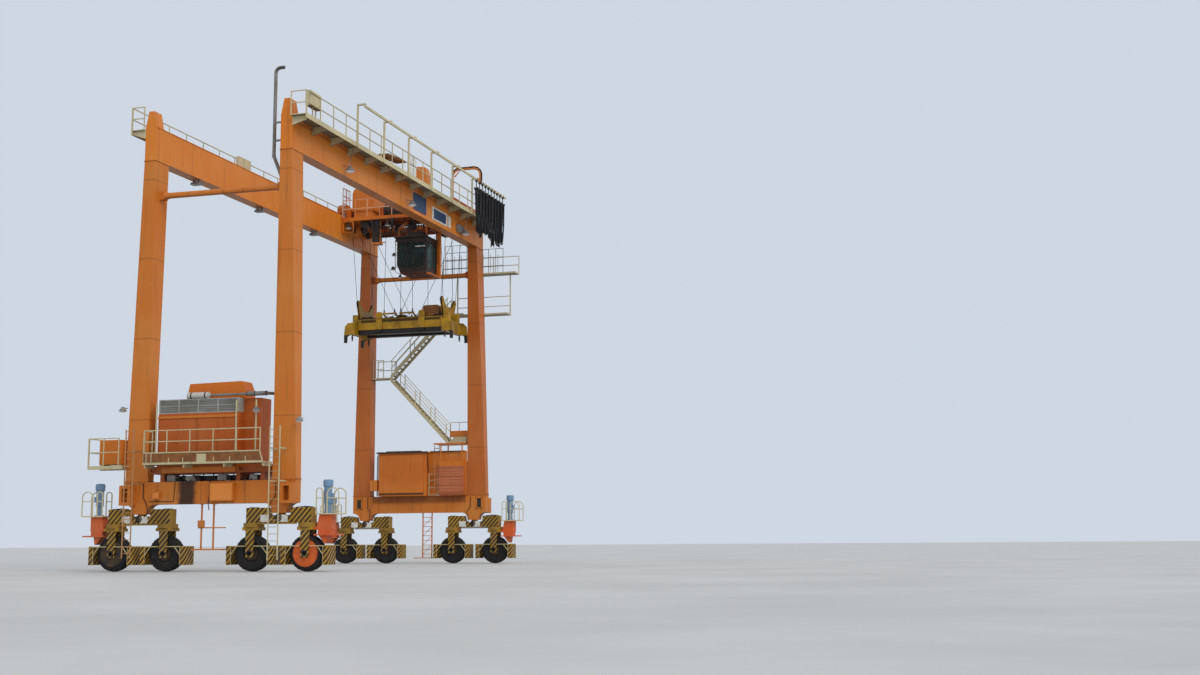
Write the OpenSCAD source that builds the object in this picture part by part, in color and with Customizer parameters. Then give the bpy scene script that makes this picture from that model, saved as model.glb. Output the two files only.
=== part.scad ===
// Rubber tyred gantry crane: portal frame on four steerable twin-wheel bogies,
// trolley with hoist and cab on two girders, telescopic container spreader.
// Millimetres, +Z up, X along the gantry travel, Y along the span, ground at Z = 0.

/* [Portal] */
// Distance between the two wheel tracks
span = 23470; // [23400:10:23500]
// Underside of the girders above the ground
girder_z = 18810; // [18600:10:19000]
// Height of a girder
girder_h = 1580; // [1400:10:1800]
// Width of a girder, and of a leg at its top
girder_w = 576; // [500:2:640]
// Clear distance between the two girders
girder_gap = 6390; // [6350:10:6450]
// Top of the sill beams, where the legs stand
sill_top = 3975; // [3900:5:4050]
// Height of a sill beam
sill_h = 1000; // [900:10:1050]
// Width of a sill beam, and depth of a leg at its foot
sill_w = 450; // [400:10:500]
// Width of a leg at its foot
leg_foot_w = 1160; // [1100:10:1180]
// How far the inner edge of a leg leans in towards its foot
leg_lean_in = 90; // [20:10:140]
// Depth of a leg at its top
leg_top_d = 1105; // [1000:5:1150]
// How far the outer face of a leg leans out at its top
leg_lean_out = 185; // [100:5:200]
// Height of the cross ties above the ground
tie_z = 17200; // [16900:10:17400]
// Diameter of a cross tie pipe
tie_d = 270; // [220:10:300]
// Thickness of the bolted flanges between legs and beams
flange_t = 25; // [15:1:40]

/* [Bogies] */
// Distance between the pivots of the two bogies of one side frame
bogie_gap = 6950; // [6900:10:7000]
// Distance between the two wheels of a bogie
wheel_base = 2650; // [2600:10:2700]
// Outer diameter of a tyre
tyre_d = 1600; // [1560:10:1620]
// Width of a tyre
tyre_w = 500; // [440:10:510]
// Diameter of a rim
rim_d = 660; // [600:10:720]
// Diameter of a wheel axle
axle_d = 140; // [100:2:180]
// Running clearance of pins and axles in their bores
pin_gap = 0.5; // [0.2:0.1:1]
// Diameter of the pivot pin of a bogie
pivot_d = 180; // [140:2:200]
// Height of the pivot pins above the ground
pivot_z = 2330; // [2315:5:2345]
// Width of a bogie beam
bogie_w = 530; // [500:10:560]
// Clear width of a wheel fork
fork_gap = 590; // [580:10:610]
// Thickness of a fork arm
fork_t = 65; // [50:5:75]

/* [Trolley] */
// Distance of the trolley from the middle of the far sill
trolley_in = 2385; // [2385:5:3135]
// Diameter of a trolley wheel
trolley_wheel_d = 500; // [460:10:540]
// Width of the cab
cab_w = 1800; // [1600:10:1900]
// Length of the cab
cab_l = 1750; // [1600:10:1850]
// Height of the cab
cab_h = 2050; // [1950:10:2100]

/* [Spreader] */
// Underside of the spreader above the ground
spreader_z = 13450; // [13000:10:13600]
// Length of the spreader, drawn in
spreader_l = 6058; // [6030:1:6080]
// Width of the spreader
spreader_w = 2438; // [2400:1:2460]
// Height of the telescopic arms
arm_h = 560; // [500:10:600]
// Diameter of a rope sheave
sheave_d = 390; // [300:10:400]

/* [Walkways] */
// How far the outer walkways stand off the outer face of a sill
side_reach = 770; // [740:10:940]
// Height of a handrail
rail_h = 1080; // [950:10:1150]
// Thickness of a handrail bar
bar = 40; // [30:1:50]

/* [Hidden] */
$fn = 32;

EPS = 1;
half = span / 2;
trolley_y = half - trolley_in;
girder_top = girder_z + girder_h;
girder_x = (girder_gap + girder_w) / 2;
leg_in_x = girder_gap / 2;
leg_out_x = leg_in_x + girder_w;
foot_in_x = leg_in_x - leg_lean_in;
foot_out_x = foot_in_x + leg_foot_w;
foot_out_y = half + sill_w / 2;
foot_in_y = half - sill_w / 2;
reach_y = foot_out_y + side_reach;
top_out_y = foot_out_y + leg_lean_out;
top_in_y = top_out_y - leg_top_d;
sill_bot = sill_top - sill_h;
lip = 25;
cap_l = 600;
cap_h = 760;

bogie_x = bogie_gap / 2;
tyre_r = tyre_d / 2;
fork_out = fork_gap / 2 + fork_t;
beam_z = pivot_z - 220;
bogie_top = pivot_z + 440;
bogie_waist = pivot_z + 70;
bogie_len = wheel_base + 500;
slot_gap = 6;
ring_d = 900;
ring_h = 87;
ring_gap = 6;
king_d = 200;
king_h = 300;
crown_h = 140;
crown_top = beam_z - 2 * ring_h - ring_gap;
lug_w = 240;
lug_r = 150;
foot_z = pivot_z + 210;
foot_w = 330;
foot_arc = sill_bot - foot_z;
guard_x = 1160;
guard_cut = 1110;
guard_nose = 280;
guard_w = fork_out + bar;
guard_t = 12;
guard_z0 = 300;
guard_z1 = 1130;

rail_w = 60;
rail_t = 70;
rail_top = girder_top + rail_t;
roll_gap = 0.5;
deck_z = girder_top - 240;
deck_t = 200;
deck_x = leg_in_x - 45;
deck_near = 2300;
deck_far = 1900;
well_x = 2550;
well_y = 1050;
carriage_w = 320;
carriage_l = 3900;
carriage_z0 = rail_top + 120;
carriage_z1 = rail_top + 620;
trolley_wheels_y = 1450;

cab_x = 1770;
cab_floor = 16450;
cab_y = trolley_y - 3400 + cab_l / 2;
cab_wall = 50;
cab_rake = 220;
cab_sill = 500;

arm_w = 170;
arm_gap = 10;
pad_gap = 0.3;
sleeve_wall = 30;
sleeve_h = arm_h + 2 * (sleeve_wall + arm_gap);
sleeve_w = 2 * (arm_w + sleeve_wall + 2 * arm_gap);
sleeve_y = 620;
cap_d = 200;
end_beam_w = 300;
sleeve_l = spreader_l - 2 * end_beam_w - 60;
tray_h = 220;
tray_drop = 60;
sleeve_top = tray_h + sleeve_h;
spreader_top = spreader_z + sleeve_top;
post_h = 1130;
sheave_x = sleeve_l / 2 - 49;
sheave_z = spreader_z + 1795;
rope_y = 1150;
rope_low = spreader_top + 250;
rope_d = 26;
sheave_y = rope_y - rope_d / 2 - 1 - sheave_d / 2;
lock_x = spreader_l / 2 - 102.5;
lock_y = spreader_w / 2 - 89.5;
lock_d = 90;

walk_z = girder_top - 90;
seat_gap = 0.3;
walk_w = 850;
walk_left_w = 720;
track_x = leg_out_x + walk_w + 420;
track_z = girder_top + 1700;
track_y0 = 4385 - half;
post_pitch = 3050;

house_x0 = -2650;
house_x1 = 1350;
house_y0 = -foot_out_y - 20;
house_y1 = house_y0 + 1420;
house_z = sill_top + 385;
band_z = house_z + 2660;
roof_z = band_z + 640;
near_deck = house_z + 400;
near_deck_t = 60;
side_deck = near_deck - 40;
side_y0 = -half - 765;
side_y1 = side_y0 + 1000;
stack_x = 2900;
stack_y = 435 - half;
pipe_y = 35 - half;
stack_shift = 420;
stack_top = 22640;
stack_bend = 17600;
stack_d = 160;
ladder_b_x = 3540;
ladder_b_y = 130 - reach_y;
ladder_a_x = -3600;
ladder_a_y = -reach_y + bar / 2;

stair_y0 = foot_in_y - 60;
stair_y1 = stair_y0 + 700;
landing_z = 11150;
upper_z = 14880;
cab_landing_z = 17350;
landing_t = 90;

// A box given by its lowest and highest corner
module box(a, b) {
    translate(a)
        cube(b - a);
}

// A round bar of diameter d from point p to point q
module bar_between(p, q, d, sides = 8) {
    v = q - p;
    translate(p)
        rotate([0, acos(v[2] / norm(v)), atan2(v[1], v[0])])
            cylinder(h = norm(v), d = d, $fn = sides);
}

// A plate with an outline in X and Z, between two values of Y
module plate_xz(points, y0, y1) {
    translate([0, y1, 0])
        rotate([90, 0, 0])
            linear_extrude(y1 - y0)
                polygon(points);
}

// A plate with an outline in Y and Z, between two values of X
module plate_yz(points, x0, x1) {
    translate([x0, 0, 0])
        rotate([90, 0, 90])
            linear_extrude(x1 - x0)
                polygon(points);
}

// A round bar along X, and one along Y
module rod_x(x0, x1, d, y = 0, z = 0) {
    translate([x0, y, z])
        rotate([0, 90, 0])
            cylinder(h = x1 - x0, d = d);
}

module rod_y(y0, y1, d, x = 0, z = 0) {
    translate([x, y0, z])
        rotate([-90, 0, 0])
            cylinder(h = y1 - y0, d = d);
}

// A round bar bent through a quarter turn about the origin, from +X up to +Z
module bend(r, d) {
    rotate([90, 0, 0])
        rotate_extrude(angle = 90)
            translate([r, 0])
                circle(d = d);
}

// A hoop of bar along X: two uprights joined by a half round top
module hoop(x0, x1, z0, z1, y) {
    r = (x1 - x0) / 2;
    translate([0, y + bar, 0])
        rotate([90, 0, 0])
            linear_extrude(bar)
                difference() {
                    union() {
                        translate([x0, z0])
                            square([x1 - x0, z1 - r - z0]);
                        translate([x0 + r, z1 - r])
                            circle(r);
                    }
                    translate([x0 + bar, z0 - EPS])
                        square([x1 - x0 - 2 * bar, z1 - r - z0 + EPS]);
                    translate([x0 + r, z1 - r])
                        circle(r - bar);
                }
}

// A handrail along X from the origin, and one along Y
module railing(len, pitch = 1500, h = rail_h, bars = 2) {
    n = max(1, round(len / pitch));
    for (i = [0 : n])
        translate([i * (len - bar) / n, -bar / 2, 0])
            cube([bar, bar, h]);
    for (k = [1 : bars])
        translate([0, -bar / 2, k * h / bars - bar])
            cube([len, bar, bar]);
}

module railing_y(len, pitch = 1500, h = rail_h, bars = 2) {
    rotate([0, 0, 90])
        railing(len, pitch, h, bars);
}

// Children made for the near right corner, mirrored to the corner (sx, sy)
module at_corner(sx, sy) {
    mirror([sx < 0 ? 1 : 0, 0, 0])
        mirror([0, sy > 0 ? 1 : 0, 0])
            children();
}

// Share of a leg's height at the level z, its middle and its inner edge there
function leg_share(z) = (z - sill_top) / (girder_z - sill_top);
function leg_mid_y(z) = half + leg_share(z) * ((top_out_y + top_in_y) / 2 - half);
function leg_in_at(z) = foot_in_x + leg_share(z) * leg_lean_in;

// Leg: a box tapering both ways, with end flanges and a bracket for the tie
module leg_box() {
    intersection() {
        plate_xz([[foot_in_x, sill_top], [foot_out_x, sill_top],
                  [leg_out_x, girder_z], [leg_in_x, girder_z]],
                 -top_out_y - 100, 0);
        plate_yz([[-foot_out_y, sill_top], [-foot_in_y, sill_top],
                  [-top_in_y, girder_z], [-top_out_y, girder_z]],
                 0, foot_out_x + 100);
    }
}

module leg() {
    leg_box();
    box([foot_in_x - lip, -foot_out_y - lip, sill_top],
        [foot_out_x + lip, -foot_in_y + lip, sill_top + flange_t]);
    box([leg_in_x - lip, -top_out_y - lip, girder_z - flange_t],
        [leg_out_x + lip, -top_in_y + lip, girder_z]);
    tie_end = leg_in_at(tie_z) - 230;
    for (s = [-1, 1])
        box([tie_end, -leg_mid_y(tie_z) + s * 130 - 15, tie_z - 190],
            [leg_in_x + 60, -leg_mid_y(tie_z) + s * 130 + 15, tie_z + 190]);
    box([tie_end, -leg_mid_y(tie_z) - 180, tie_z - 190],
        [tie_end + 20, -leg_mid_y(tie_z) + 180, tie_z + 190]);
}

module leg_a() { color("darkorange") at_corner(-1, -1) leg(); }
module leg_b() { color("darkorange") at_corner(1, -1) leg(); }
module leg_c() { color("darkorange") at_corner(-1, 1) leg(); }
module leg_d() { color("darkorange") at_corner(1, 1) leg(); }

// Girder: a box with flange lips, end caps and the trolley rail
module girder() {
    box([leg_in_x, -top_out_y, girder_z], [leg_out_x, top_out_y, girder_top]);
    for (z = [girder_z, girder_top - flange_t])
        box([leg_in_x - lip, -top_out_y, z], [leg_out_x + lip, top_out_y, z + flange_t]);
    box([girder_x - rail_w / 2, -top_out_y + cap_l, girder_top],
        [girder_x + rail_w / 2, top_out_y - cap_l, rail_top]);
    for (s = [0, 1])
        mirror([0, s, 0])
            plate_xz([[leg_in_x, girder_top], [leg_out_x, girder_top],
                      [girder_x + 140, girder_top + cap_h],
                      [girder_x - 140, girder_top + cap_h]],
                     -top_out_y, -top_out_y + cap_l);
}

module girder_right() { color("darkorange") girder(); }
module girder_left() { color("darkorange") mirror([1, 0, 0]) girder(); }

// Sill: a beam with end blocks under the legs, pivot feet and lashing sockets
module sill_end() {
    plate_xz([[foot_in_x - 380, sill_top - 200], [foot_in_x, sill_top],
              [foot_out_x, sill_top], [foot_out_x, sill_bot],
              [foot_in_x - 380, sill_bot]],
             -foot_out_y, -foot_in_y);
    difference() {
        box([bogie_x - foot_w - foot_arc, -foot_out_y, foot_z],
            [bogie_x + foot_w + foot_arc, -foot_in_y, sill_bot]);
        for (s = [-1, 1])
            rod_y(-foot_out_y - EPS, -foot_in_y + EPS, 2 * foot_arc,
                  bogie_x + s * (foot_w + foot_arc), foot_z);
    }
    box([bogie_x - lug_r, -half - lug_w / 2, pivot_z],
        [bogie_x + lug_r, -half + lug_w / 2, foot_z]);
    rod_y(-half - lug_w / 2, -half + lug_w / 2, 2 * lug_r, bogie_x, pivot_z);
    rod_y(-half - bogie_w / 2 - 30, -half + bogie_w / 2 + 30, pivot_d, bogie_x, pivot_z);
    difference() {
        box([3720, -foot_out_y - 430, 2940], [4280, -foot_out_y, 3830]);
        box([3850, -foot_out_y - 430 - EPS, 3080], [4150, -foot_out_y - 60, 3690]);
    }
}

module sill() {
    for (sx = [-1, 1])
        at_corner(sx, -1)
            sill_end();
    box([-foot_in_x, -foot_out_y, sill_bot], [foot_in_x, -foot_in_y, sill_top]);
}

module sill_near() {
    color("darkorange") {
        sill();
        box([170, -foot_out_y - 230, 3080], [1310, -foot_out_y, 3890]);
        box([-2760, -foot_out_y - 150, 3200], [-2420, -foot_out_y, 3540]);
    }
}

module sill_far() {
    color("darkorange")
        mirror([0, 1, 0])
            sill();
}

// Cross ties: pipes with flared ends between the legs of each side frame
module cross_ties() {
    tie_end = leg_in_at(tie_z) - 230;
    color("darkorange")
        for (s = [-1, 1])
            translate([0, s * leg_mid_y(tie_z), tie_z]) {
                rod_x(-tie_end + 250, tie_end - 250, tie_d);
                for (sx = [0, 1])
                    mirror([sx, 0, 0]) {
                        translate([tie_end - 270, 0, 0])
                            rotate([0, 90, 0])
                                cylinder(h = 250, d1 = tie_d, d2 = tie_d + 90);
                        box([tie_end - 20, -180, -190], [tie_end, 180, 190]);
                    }
            }
}

// Walkway along the outer face of a girder, on brackets
module walkway(y0, y1, w, pitch) {
    first = max(y0, -top_out_y);
    last = min(y1, top_out_y) - 60;
    n = round((last - first) / 1800);
    box([leg_out_x + lip, y0, walk_z - 40], [leg_out_x + w, y1, walk_z]);
    box([leg_out_x + w - 60, y0, walk_z - 230], [leg_out_x + w, y1, walk_z - 40]);
    for (i = [0 : n])
        translate([0, first + i * (last - first) / n, 0])
            plate_xz([[leg_out_x, walk_z - 420], [leg_out_x + 60, walk_z - 420],
                      [leg_out_x + w - 60, walk_z - 200], [leg_out_x + w - 60, walk_z - 40],
                      [leg_out_x, walk_z - 40]],
                     0, 60);
    translate([leg_out_x + w - bar / 2, y0, walk_z + seat_gap])
        railing_y(y1 - y0, pitch);
    for (y = [y0 + bar / 2, y1 - bar / 2])
        translate([leg_out_x + lip, y, walk_z + seat_gap])
            railing(w - lip - bar - seat_gap, w);
}

module walkway_right() {
    box_x = leg_out_x + walk_w - bar;
    box_y = -top_out_y + 140;
    color("wheat") {
        walkway(-top_out_y - 250, reach_y, walk_w, 1350);
        box([box_x - 260, box_y, walk_z + 480], [box_x - 10, box_y + 1050, walk_z + 1180]);
        for (y = [box_y + 450, box_y + 750])
            box([box_x - 160, y, walk_z + seat_gap], [box_x - 110, y + 50, walk_z + 480]);
    }
}

module walkway_left() {
    box_x = leg_out_x + walk_left_w - bar;
    color("wheat")
        mirror([1, 0, 0]) {
            walkway(-top_out_y - 100, reach_y - 300, walk_left_w, 1500);
            box([box_x - 200, -2900, walk_z + 250], [box_x - 10, -1700, walk_z + 1150]);
            for (y = [-2750, -1900])
                box([box_x - 130, y, walk_z + seat_gap], [box_x - 80, y + 50, walk_z + 250]);
        }
}

// Festoon track outside the right walkway, on goalposts
module festoon_track() {
    color("wheat") {
        for (i = [0 : 5])
            translate([0, track_y0 + i * post_pitch, 0]) {
                box([leg_out_x + walk_w, 0, walk_z - 230],
                    [leg_out_x + walk_w + 80, 80, track_z + 80]);
                box([leg_out_x + walk_w, 0, track_z], [track_x + 40, 80, track_z + 80]);
            }
        box([track_x - 30, track_y0, track_z - 120], [track_x + 30, reach_y - 100, track_z]);
    }
}

// Festoon cables: hanging loops on carriers, gathered at the far end
module festoon_cables() {
    color("black")
        for (i = [0 : 10])
            translate([track_x, half - 3755 + i * 400, 0]) {
                box([-35, -60, track_z - 330], [35, 60, track_z - 120]);
                box([-150, -35, track_z - 3300 - 250 * sin(i * 75)], [150, 35, track_z - 330]);
            }
}

// Engine house on the near sill
module engine_house() {
    skid = house_z - 30;
    color("darkorange") {
        box([house_x0, house_y0, house_z], [house_x1, house_y1, band_z]);
        box([house_x0 - 20, house_y0 - 20, band_z - 220], [house_x1 + 10, house_y0, band_z - 130]);
        for (x = [house_x0, house_x0 + 1980, house_x1 - 40])
            box([x, house_y0 - 15, near_deck], [x + 40, house_y0, band_z - 220]);
        box([house_x1, house_y0 + 500, house_z], [house_x1 + 850, house_y1, roof_z]);
        difference() {
            box([house_x0 - 400, house_y0, skid], [3000, house_y1, house_z + 300]);
            for (x = [house_x0 - 330, 1480])
                box([x, house_y0 - EPS, skid + 80], [x + 240, house_y0 + 90, house_z + 240]);
        }
        for (x = [house_x0 + 150, 1300, 2500])
            box([x, house_y0 + 60, sill_top], [x + 200, house_y1 - 100, skid]);
        plate_xz([[-1600, roof_z], [1400, roof_z], [1340, roof_z + 440],
                  [1190, roof_z + 790], [-1440, roof_z + 740]],
                 -half + 300, house_y1);
    }
}

module radiator_band() {
    n = 4;
    w = (house_x1 - house_x0 - 60) / n;
    color("grey")
        difference() {
            box([house_x0, house_y0, band_z], [house_x1, house_y1, roof_z]);
            for (i = [0 : n - 1])
                for (k = [0, 1])
                    translate([house_x0 + 60 + i * w, house_y0 - EPS, band_z + 40 + k * 300])
                        cube([w - 60, 60 + EPS, 260]);
            for (i = [0 : n - 1])
                translate([house_x0 + 60 + i * w, house_y1 - 60, band_z + 40])
                    cube([w - 60, 60 + EPS, 560]);
        }
}

// Exhaust: silencers on the roof and the tall pipe beside leg B
module exhaust_stack() {
    pipe_z = roof_z + 170;
    high_x = stack_x - stack_shift;
    high_y = stack_y - 100;
    high_z = stack_bend + 1120;
    tip_r = 240;
    color("grey") {
        rod_x(-1350, -280, 300, pipe_y, pipe_z);
        for (x = [-1200, -500])
            box([x, pipe_y - 60, roof_z], [x + 60, pipe_y + 60, roof_z + 60]);
        rod_x(-280, 1650, 110, pipe_y, pipe_z);
        rod_x(1600, 2600, 200, pipe_y, pipe_z);
        bar_between([2580, pipe_y, pipe_z], [stack_x, stack_y, pipe_z], 140, 16);
        translate([stack_x, stack_y, pipe_z - 100])
            cylinder(h = stack_bend - pipe_z + 100, d = stack_d);
        translate([stack_x, stack_y, stack_bend])
            sphere(d = stack_d + 24);
        bar_between([stack_x, stack_y, stack_bend], [high_x, high_y, high_z], stack_d, 32);
        translate([high_x, high_y, high_z])
            sphere(d = stack_d + 24);
        translate([high_x, high_y, high_z])
            cylinder(h = stack_top - high_z, d = stack_d);
        translate([high_x + tip_r, high_y, stack_top])
            mirror([1, 0, 0])
                bend(tip_r, stack_d);
        rod_x(high_x + tip_r, high_x + tip_r + 190, stack_d, high_y, stack_top + tip_r);
        for (z = [9500, 12500, 15500])
            difference() {
                box([stack_x, stack_y - 160, z], [leg_in_x + 50, stack_y + 30, z + 80]);
                at_corner(1, -1)
                    leg_box();
            }
        for (z = [19400, 20250])
            box([high_x, high_y - 30, z], [leg_in_x, high_y + 30, z + 80]);
    }
}

// Walkway in front of the engine house, with the platform beside leg A
module engine_walkway() {
    color("wheat") {
        box([-2900, -reach_y, near_deck - near_deck_t], [3100, house_y0, near_deck]);
        for (x = [-2850, -900, 1100, 3000])
            box([x, -reach_y + bar, near_deck - 200], [x + 60, house_y0, near_deck - near_deck_t]);
        translate([0, 0, near_deck + seat_gap]) {
            plate_xz([[-2900, 0], [3060, 0], [2900, 480], [-2900, 480]], -reach_y, -reach_y + 12);
            translate([-2900, -reach_y + bar / 2, 0])
                railing(5800, 1250, 1480, 3);
            translate([-2900 + bar / 2, -reach_y + bar + seat_gap, 0])
                railing_y(house_y0 + reach_y - bar - seat_gap - 60, 800, 1480, 3);
            for (x = [house_x0 - 100, house_x1 - 80, house_x1 + 900])
                box([x, house_y0 - 75, 0], [x + 50, house_y0 - 25, band_z - near_deck + 500]);
        }
        difference() {
            union() {
                box([-5900, side_y0, side_deck - 60], [-4100, side_y1, side_deck]);
                for (y = [side_y0, side_y1 - 60])
                    box([-5900, y, side_deck - 160], [-4100, y + 60, side_deck - 60]);
            }
            at_corner(-1, -1)
                leg_box();
        }
        translate([0, 0, side_deck + seat_gap]) {
            translate([-5900, side_y0 + bar / 2, 0])
                railing(1600, 800, 1250);
            translate([-5900 + bar / 2, side_y0 + bar + seat_gap, 0])
                railing_y(side_y1 - side_y0 - bar - seat_gap, 1000, 1250);
        }
    }
    color("darkorange")
        box([-5500, side_y0 + 300, side_deck + 70], [-4330, side_y1 - 40, side_deck + 1180]);
    color("wheat")
        for (x = [-5450, -4450])
            box([x, side_y0 + 320, side_deck + seat_gap], [x + 80, side_y1 - 60, side_deck + 70]);
}

// Ladders from near the ground up to the engine walkway and beside leg A
module ladder(x, y, z0, z1, w) {
    for (s = [-1, 1])
        box([x + s * w / 2 - bar / 2, y - bar / 2, z0],
            [x + s * w / 2 + bar / 2, y + bar / 2, z1]);
    for (z = [z0 + 200 : 300 : z1 - 50])
        box([x - w / 2, y - 12, z - 12], [x + w / 2, y + 12, z + 12]);
}

module access_ladders() {
    color("wheat") {
        ladder(ladder_b_x, ladder_b_y, 520, 6300, 480);
        ladder(ladder_a_x, ladder_a_y, 620, 6300, 420);
        difference() {
            for (at = [[ladder_b_x, ladder_b_y, 240], [ladder_a_x, ladder_a_y, 210]])
                for (z = [sill_top - 95, 5300])
                    for (s = [-1, 1])
                        box([at[0] + s * at[2] - bar / 2, at[1] + bar / 2 + seat_gap, z],
                            [at[0] + s * at[2] + bar / 2, -foot_in_y - bar, z + 60]);
            for (sx = [-1, 1])
                at_corner(sx, -1)
                    leg_box();
            box([-foot_out_x, -foot_out_y, sill_bot], [foot_out_x, 0, sill_top]);
        }
    }
}

// Small service cradle hanging under the near sill
module service_cradle() {
    color("darkorange") {
        for (x = [-450, 150]) {
            box([x - 30, -half - 30, 1000], [x + 30, -half + 30, sill_bot]);
            box([x - 90, -half - 80, sill_bot - 20], [x + 90, -half + 80, sill_bot]);
        }
        box([-600, -half - 30, 1900], [750, -half + 30, 1950]);
        box([-800, -half - 250, 940], [700, -half + 250, 1000]);
        box([-560, -half - 150, 1950], [-300, -half + 20, 2250]);
    }
}

// Electrical house and cabinet on the far sill
module electric_house() {
    y0 = half - 735;
    color("darkorange")
        difference() {
            union() {
                box([-2380, y0, sill_top], [680, reach_y - 100, 6500]);
                box([-2430, y0 - 50, 6500], [730, reach_y - 50, 6550]);
            }
            for (x = [-2300, -1540, -780, -20])
                box([x, y0 - EPS, sill_top + 120], [x + 700, y0 + 20, 6400]);
        }
}

module control_cabinet() {
    y0 = half - 635;
    y1 = half + 665;
    color("darkorange") {
        box([1450, y0, sill_top], [2950, y1, 6000]);
        for (x = [1500, 2850])
            for (y = [y0 + 50, y1 - 100])
                box([x, y, 6000 + seat_gap], [x + 60, y + 60, 7000]);
        box([1100, y0 - 50, 7000], [3000, y1 + 50, 7070]);
    }
}

// Stairs and landings in the plane of the far side frame
module flight(p, q, rail_end) {
    v = q - p;
    r = p + rail_end * v;
    n = round(abs(v[1]) / 220);
    for (y = [stair_y0, stair_y1 - 40]) {
        plate_xz([[p[0], p[1] - 120], [p[0], p[1] + 120], [q[0], q[1] + 120], [q[0], q[1] - 120]],
                 y, y + 40);
        for (h = [530, 980])
            plate_xz([[p[0], p[1] + h], [p[0], p[1] + h + bar],
                      [r[0], r[1] + h + bar], [r[0], r[1] + h]],
                     y, y + 40);
        for (t = [0.02, 0.34, 0.66, 0.98]) {
            foot = p + t * rail_end * v;
            box([foot[0] - bar / 2, y, foot[1] + 50], [foot[0] + bar / 2, y + 40, foot[1] + 1000]);
        }
    }
    for (i = [0 : n - 1]) {
        tread = p + (i + 0.5) / n * v;
        box([tread[0] - 120, stair_y0 + 40, tread[1] - 15],
            [tread[0] + 120, stair_y1 - 40, tread[1] + 15]);
    }
}

module far_stair() {
    color("wheat") {
        difference() {
            box([-3300, stair_y0, landing_z - landing_t], [-1900, stair_y1, landing_z]);
            at_corner(-1, 1)
                leg_box();
        }
        flight([1800, 7190], [-1900, landing_z - 120], 0.84);
        flight([-1900, landing_z], [1800, upper_z], 1);
        difference() {
            union() {
                box([1800, stair_y0, upper_z - landing_t], [2700, reach_y, upper_z]);
                box([2700, half + 265, upper_z - landing_t], [5400, reach_y, upper_z]);
                box([950, half + 265, cab_landing_z - landing_t], [5900, reach_y, cab_landing_z]);
            }
            at_corner(1, 1)
                leg_box();
        }
        for (x = [1900, 5300])
            box([x, reach_y - 60, upper_z], [x + 60, reach_y, cab_landing_z - landing_t]);
        for (z = [upper_z + 500, upper_z + rail_h])
            box([1960, reach_y - 50, z], [5300, reach_y - 50 + bar, z + bar]);
        translate([950, reach_y - bar / 2, cab_landing_z])
            railing(4950);
        translate([-3060, stair_y1 - bar / 2, landing_z])
            railing(1160, 1160);
        translate([-3060, stair_y0 + bar / 2, landing_z])
            railing(700, 700);
    }
}

module floodlights() {
    color("grey")
        for (y = [-8200, -2000, 4200])
            translate([-girder_x, y, girder_z]) {
                box([-150, -60, -30], [150, 60, 0]);
                for (x = [-160, 120])
                    box([x - 20, -40, -120], [x + 60, 40, -30]);
                plate_yz([[-110, -120], [110, -120], [170, -240], [-170, -240]], -230, 230);
            }
}

// Trolley: deck with a rope well, end carriages on the girder rails
module trolley_frame() {
    wheel_z = rail_top + trolley_wheel_d / 2 + roll_gap;
    under = deck_z - deck_t;
    color("darkorange")
        translate([0, trolley_y, 0]) {
            difference() {
                box([-deck_x, -deck_near, under], [deck_x, deck_far, deck_z]);
                box([-well_x, -well_y, under - EPS], [well_x, well_y, deck_z + EPS]);
            }
            for (y = [-1550, 1400])
                box([-deck_x, y, under - 260], [deck_x, y + 150, under]);
            for (sx = [0, 1])
                mirror([sx, 0, 0])
                    trolley_side(wheel_z);
            translate([-deck_x, -deck_near + bar / 2, deck_z])
                railing(2 * deck_x);
            translate([-deck_x + bar / 2, -deck_near, deck_z])
                railing_y(960, 480, 1850, 4);
            difference() {
                box([-deck_x, -deck_near, under - 660], [-deck_x + 700, -deck_near + 60, under]);
                box([-deck_x + 60, -deck_near - EPS, under - 600],
                    [-deck_x + 640, -deck_near + 60 + EPS, under - 60]);
            }
            cab_hanger();
        }
}

// Side of the trolley: two stepped arms and an end carriage over the wheels
module trolley_side(wheel_z) {
    for (y = [-1700, 1400])
        plate_xz([[deck_x - 150, deck_z], [deck_x, deck_z],
                  [deck_x, carriage_z0], [girder_x - carriage_w / 2, carriage_z0],
                  [girder_x - carriage_w / 2, carriage_z1],
                  [deck_x - 150, carriage_z1 - 100]],
                 y, y + 300);
    difference() {
        plate_yz([[-carriage_l / 2, carriage_z0], [carriage_l / 2, carriage_z0],
                  [carriage_l / 2, carriage_z1 - 200], [carriage_l / 2 - 200, carriage_z1],
                  [200 - carriage_l / 2, carriage_z1], [-carriage_l / 2, carriage_z1 - 200]],
                 girder_x - carriage_w / 2, girder_x + carriage_w / 2);
        for (y = [-trolley_wheels_y, trolley_wheels_y]) {
            box([girder_x - 60, y - 290, carriage_z0 - EPS],
                [girder_x + 60, y + 290, carriage_z1 - 60]);
            rod_x(girder_x - carriage_w, girder_x + carriage_w,
                  120 + 2 * pin_gap, y, wheel_z);
        }
    }
}

// Hanger of the cab: four posts with side frames, and a column beside the cab
module cab_hanger() {
    near = cab_y - trolley_y - cab_l / 2;
    far = near + cab_l;
    top = cab_floor + cab_h;
    under = deck_z - deck_t;
    for (x = [cab_x - cab_w / 2, cab_x + cab_w / 2 - 100]) {
        box([x, near + 100, top], [x + 100, near + 200, top + 500]);
        box([x, near + 100, top + 500], [x + 100, far, top + 600]);
        box([x, far - 100, top], [x + 100, far, under]);
        plate_yz([[near + 150, top + 600], [near + 300, top + 600],
                  [far, under - 130], [far, under - 10]],
                 x, x + 100);
    }
    box([cab_x + cab_w / 2 + 20, far - 250, cab_floor - 150],
        [cab_x + cab_w / 2 + 220, far - 50, under]);
    box([cab_x + cab_w / 2 + 20, near, cab_floor - 150],
        [cab_x + cab_w / 2 + 220, far - 250, cab_floor - 50]);
}

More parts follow.
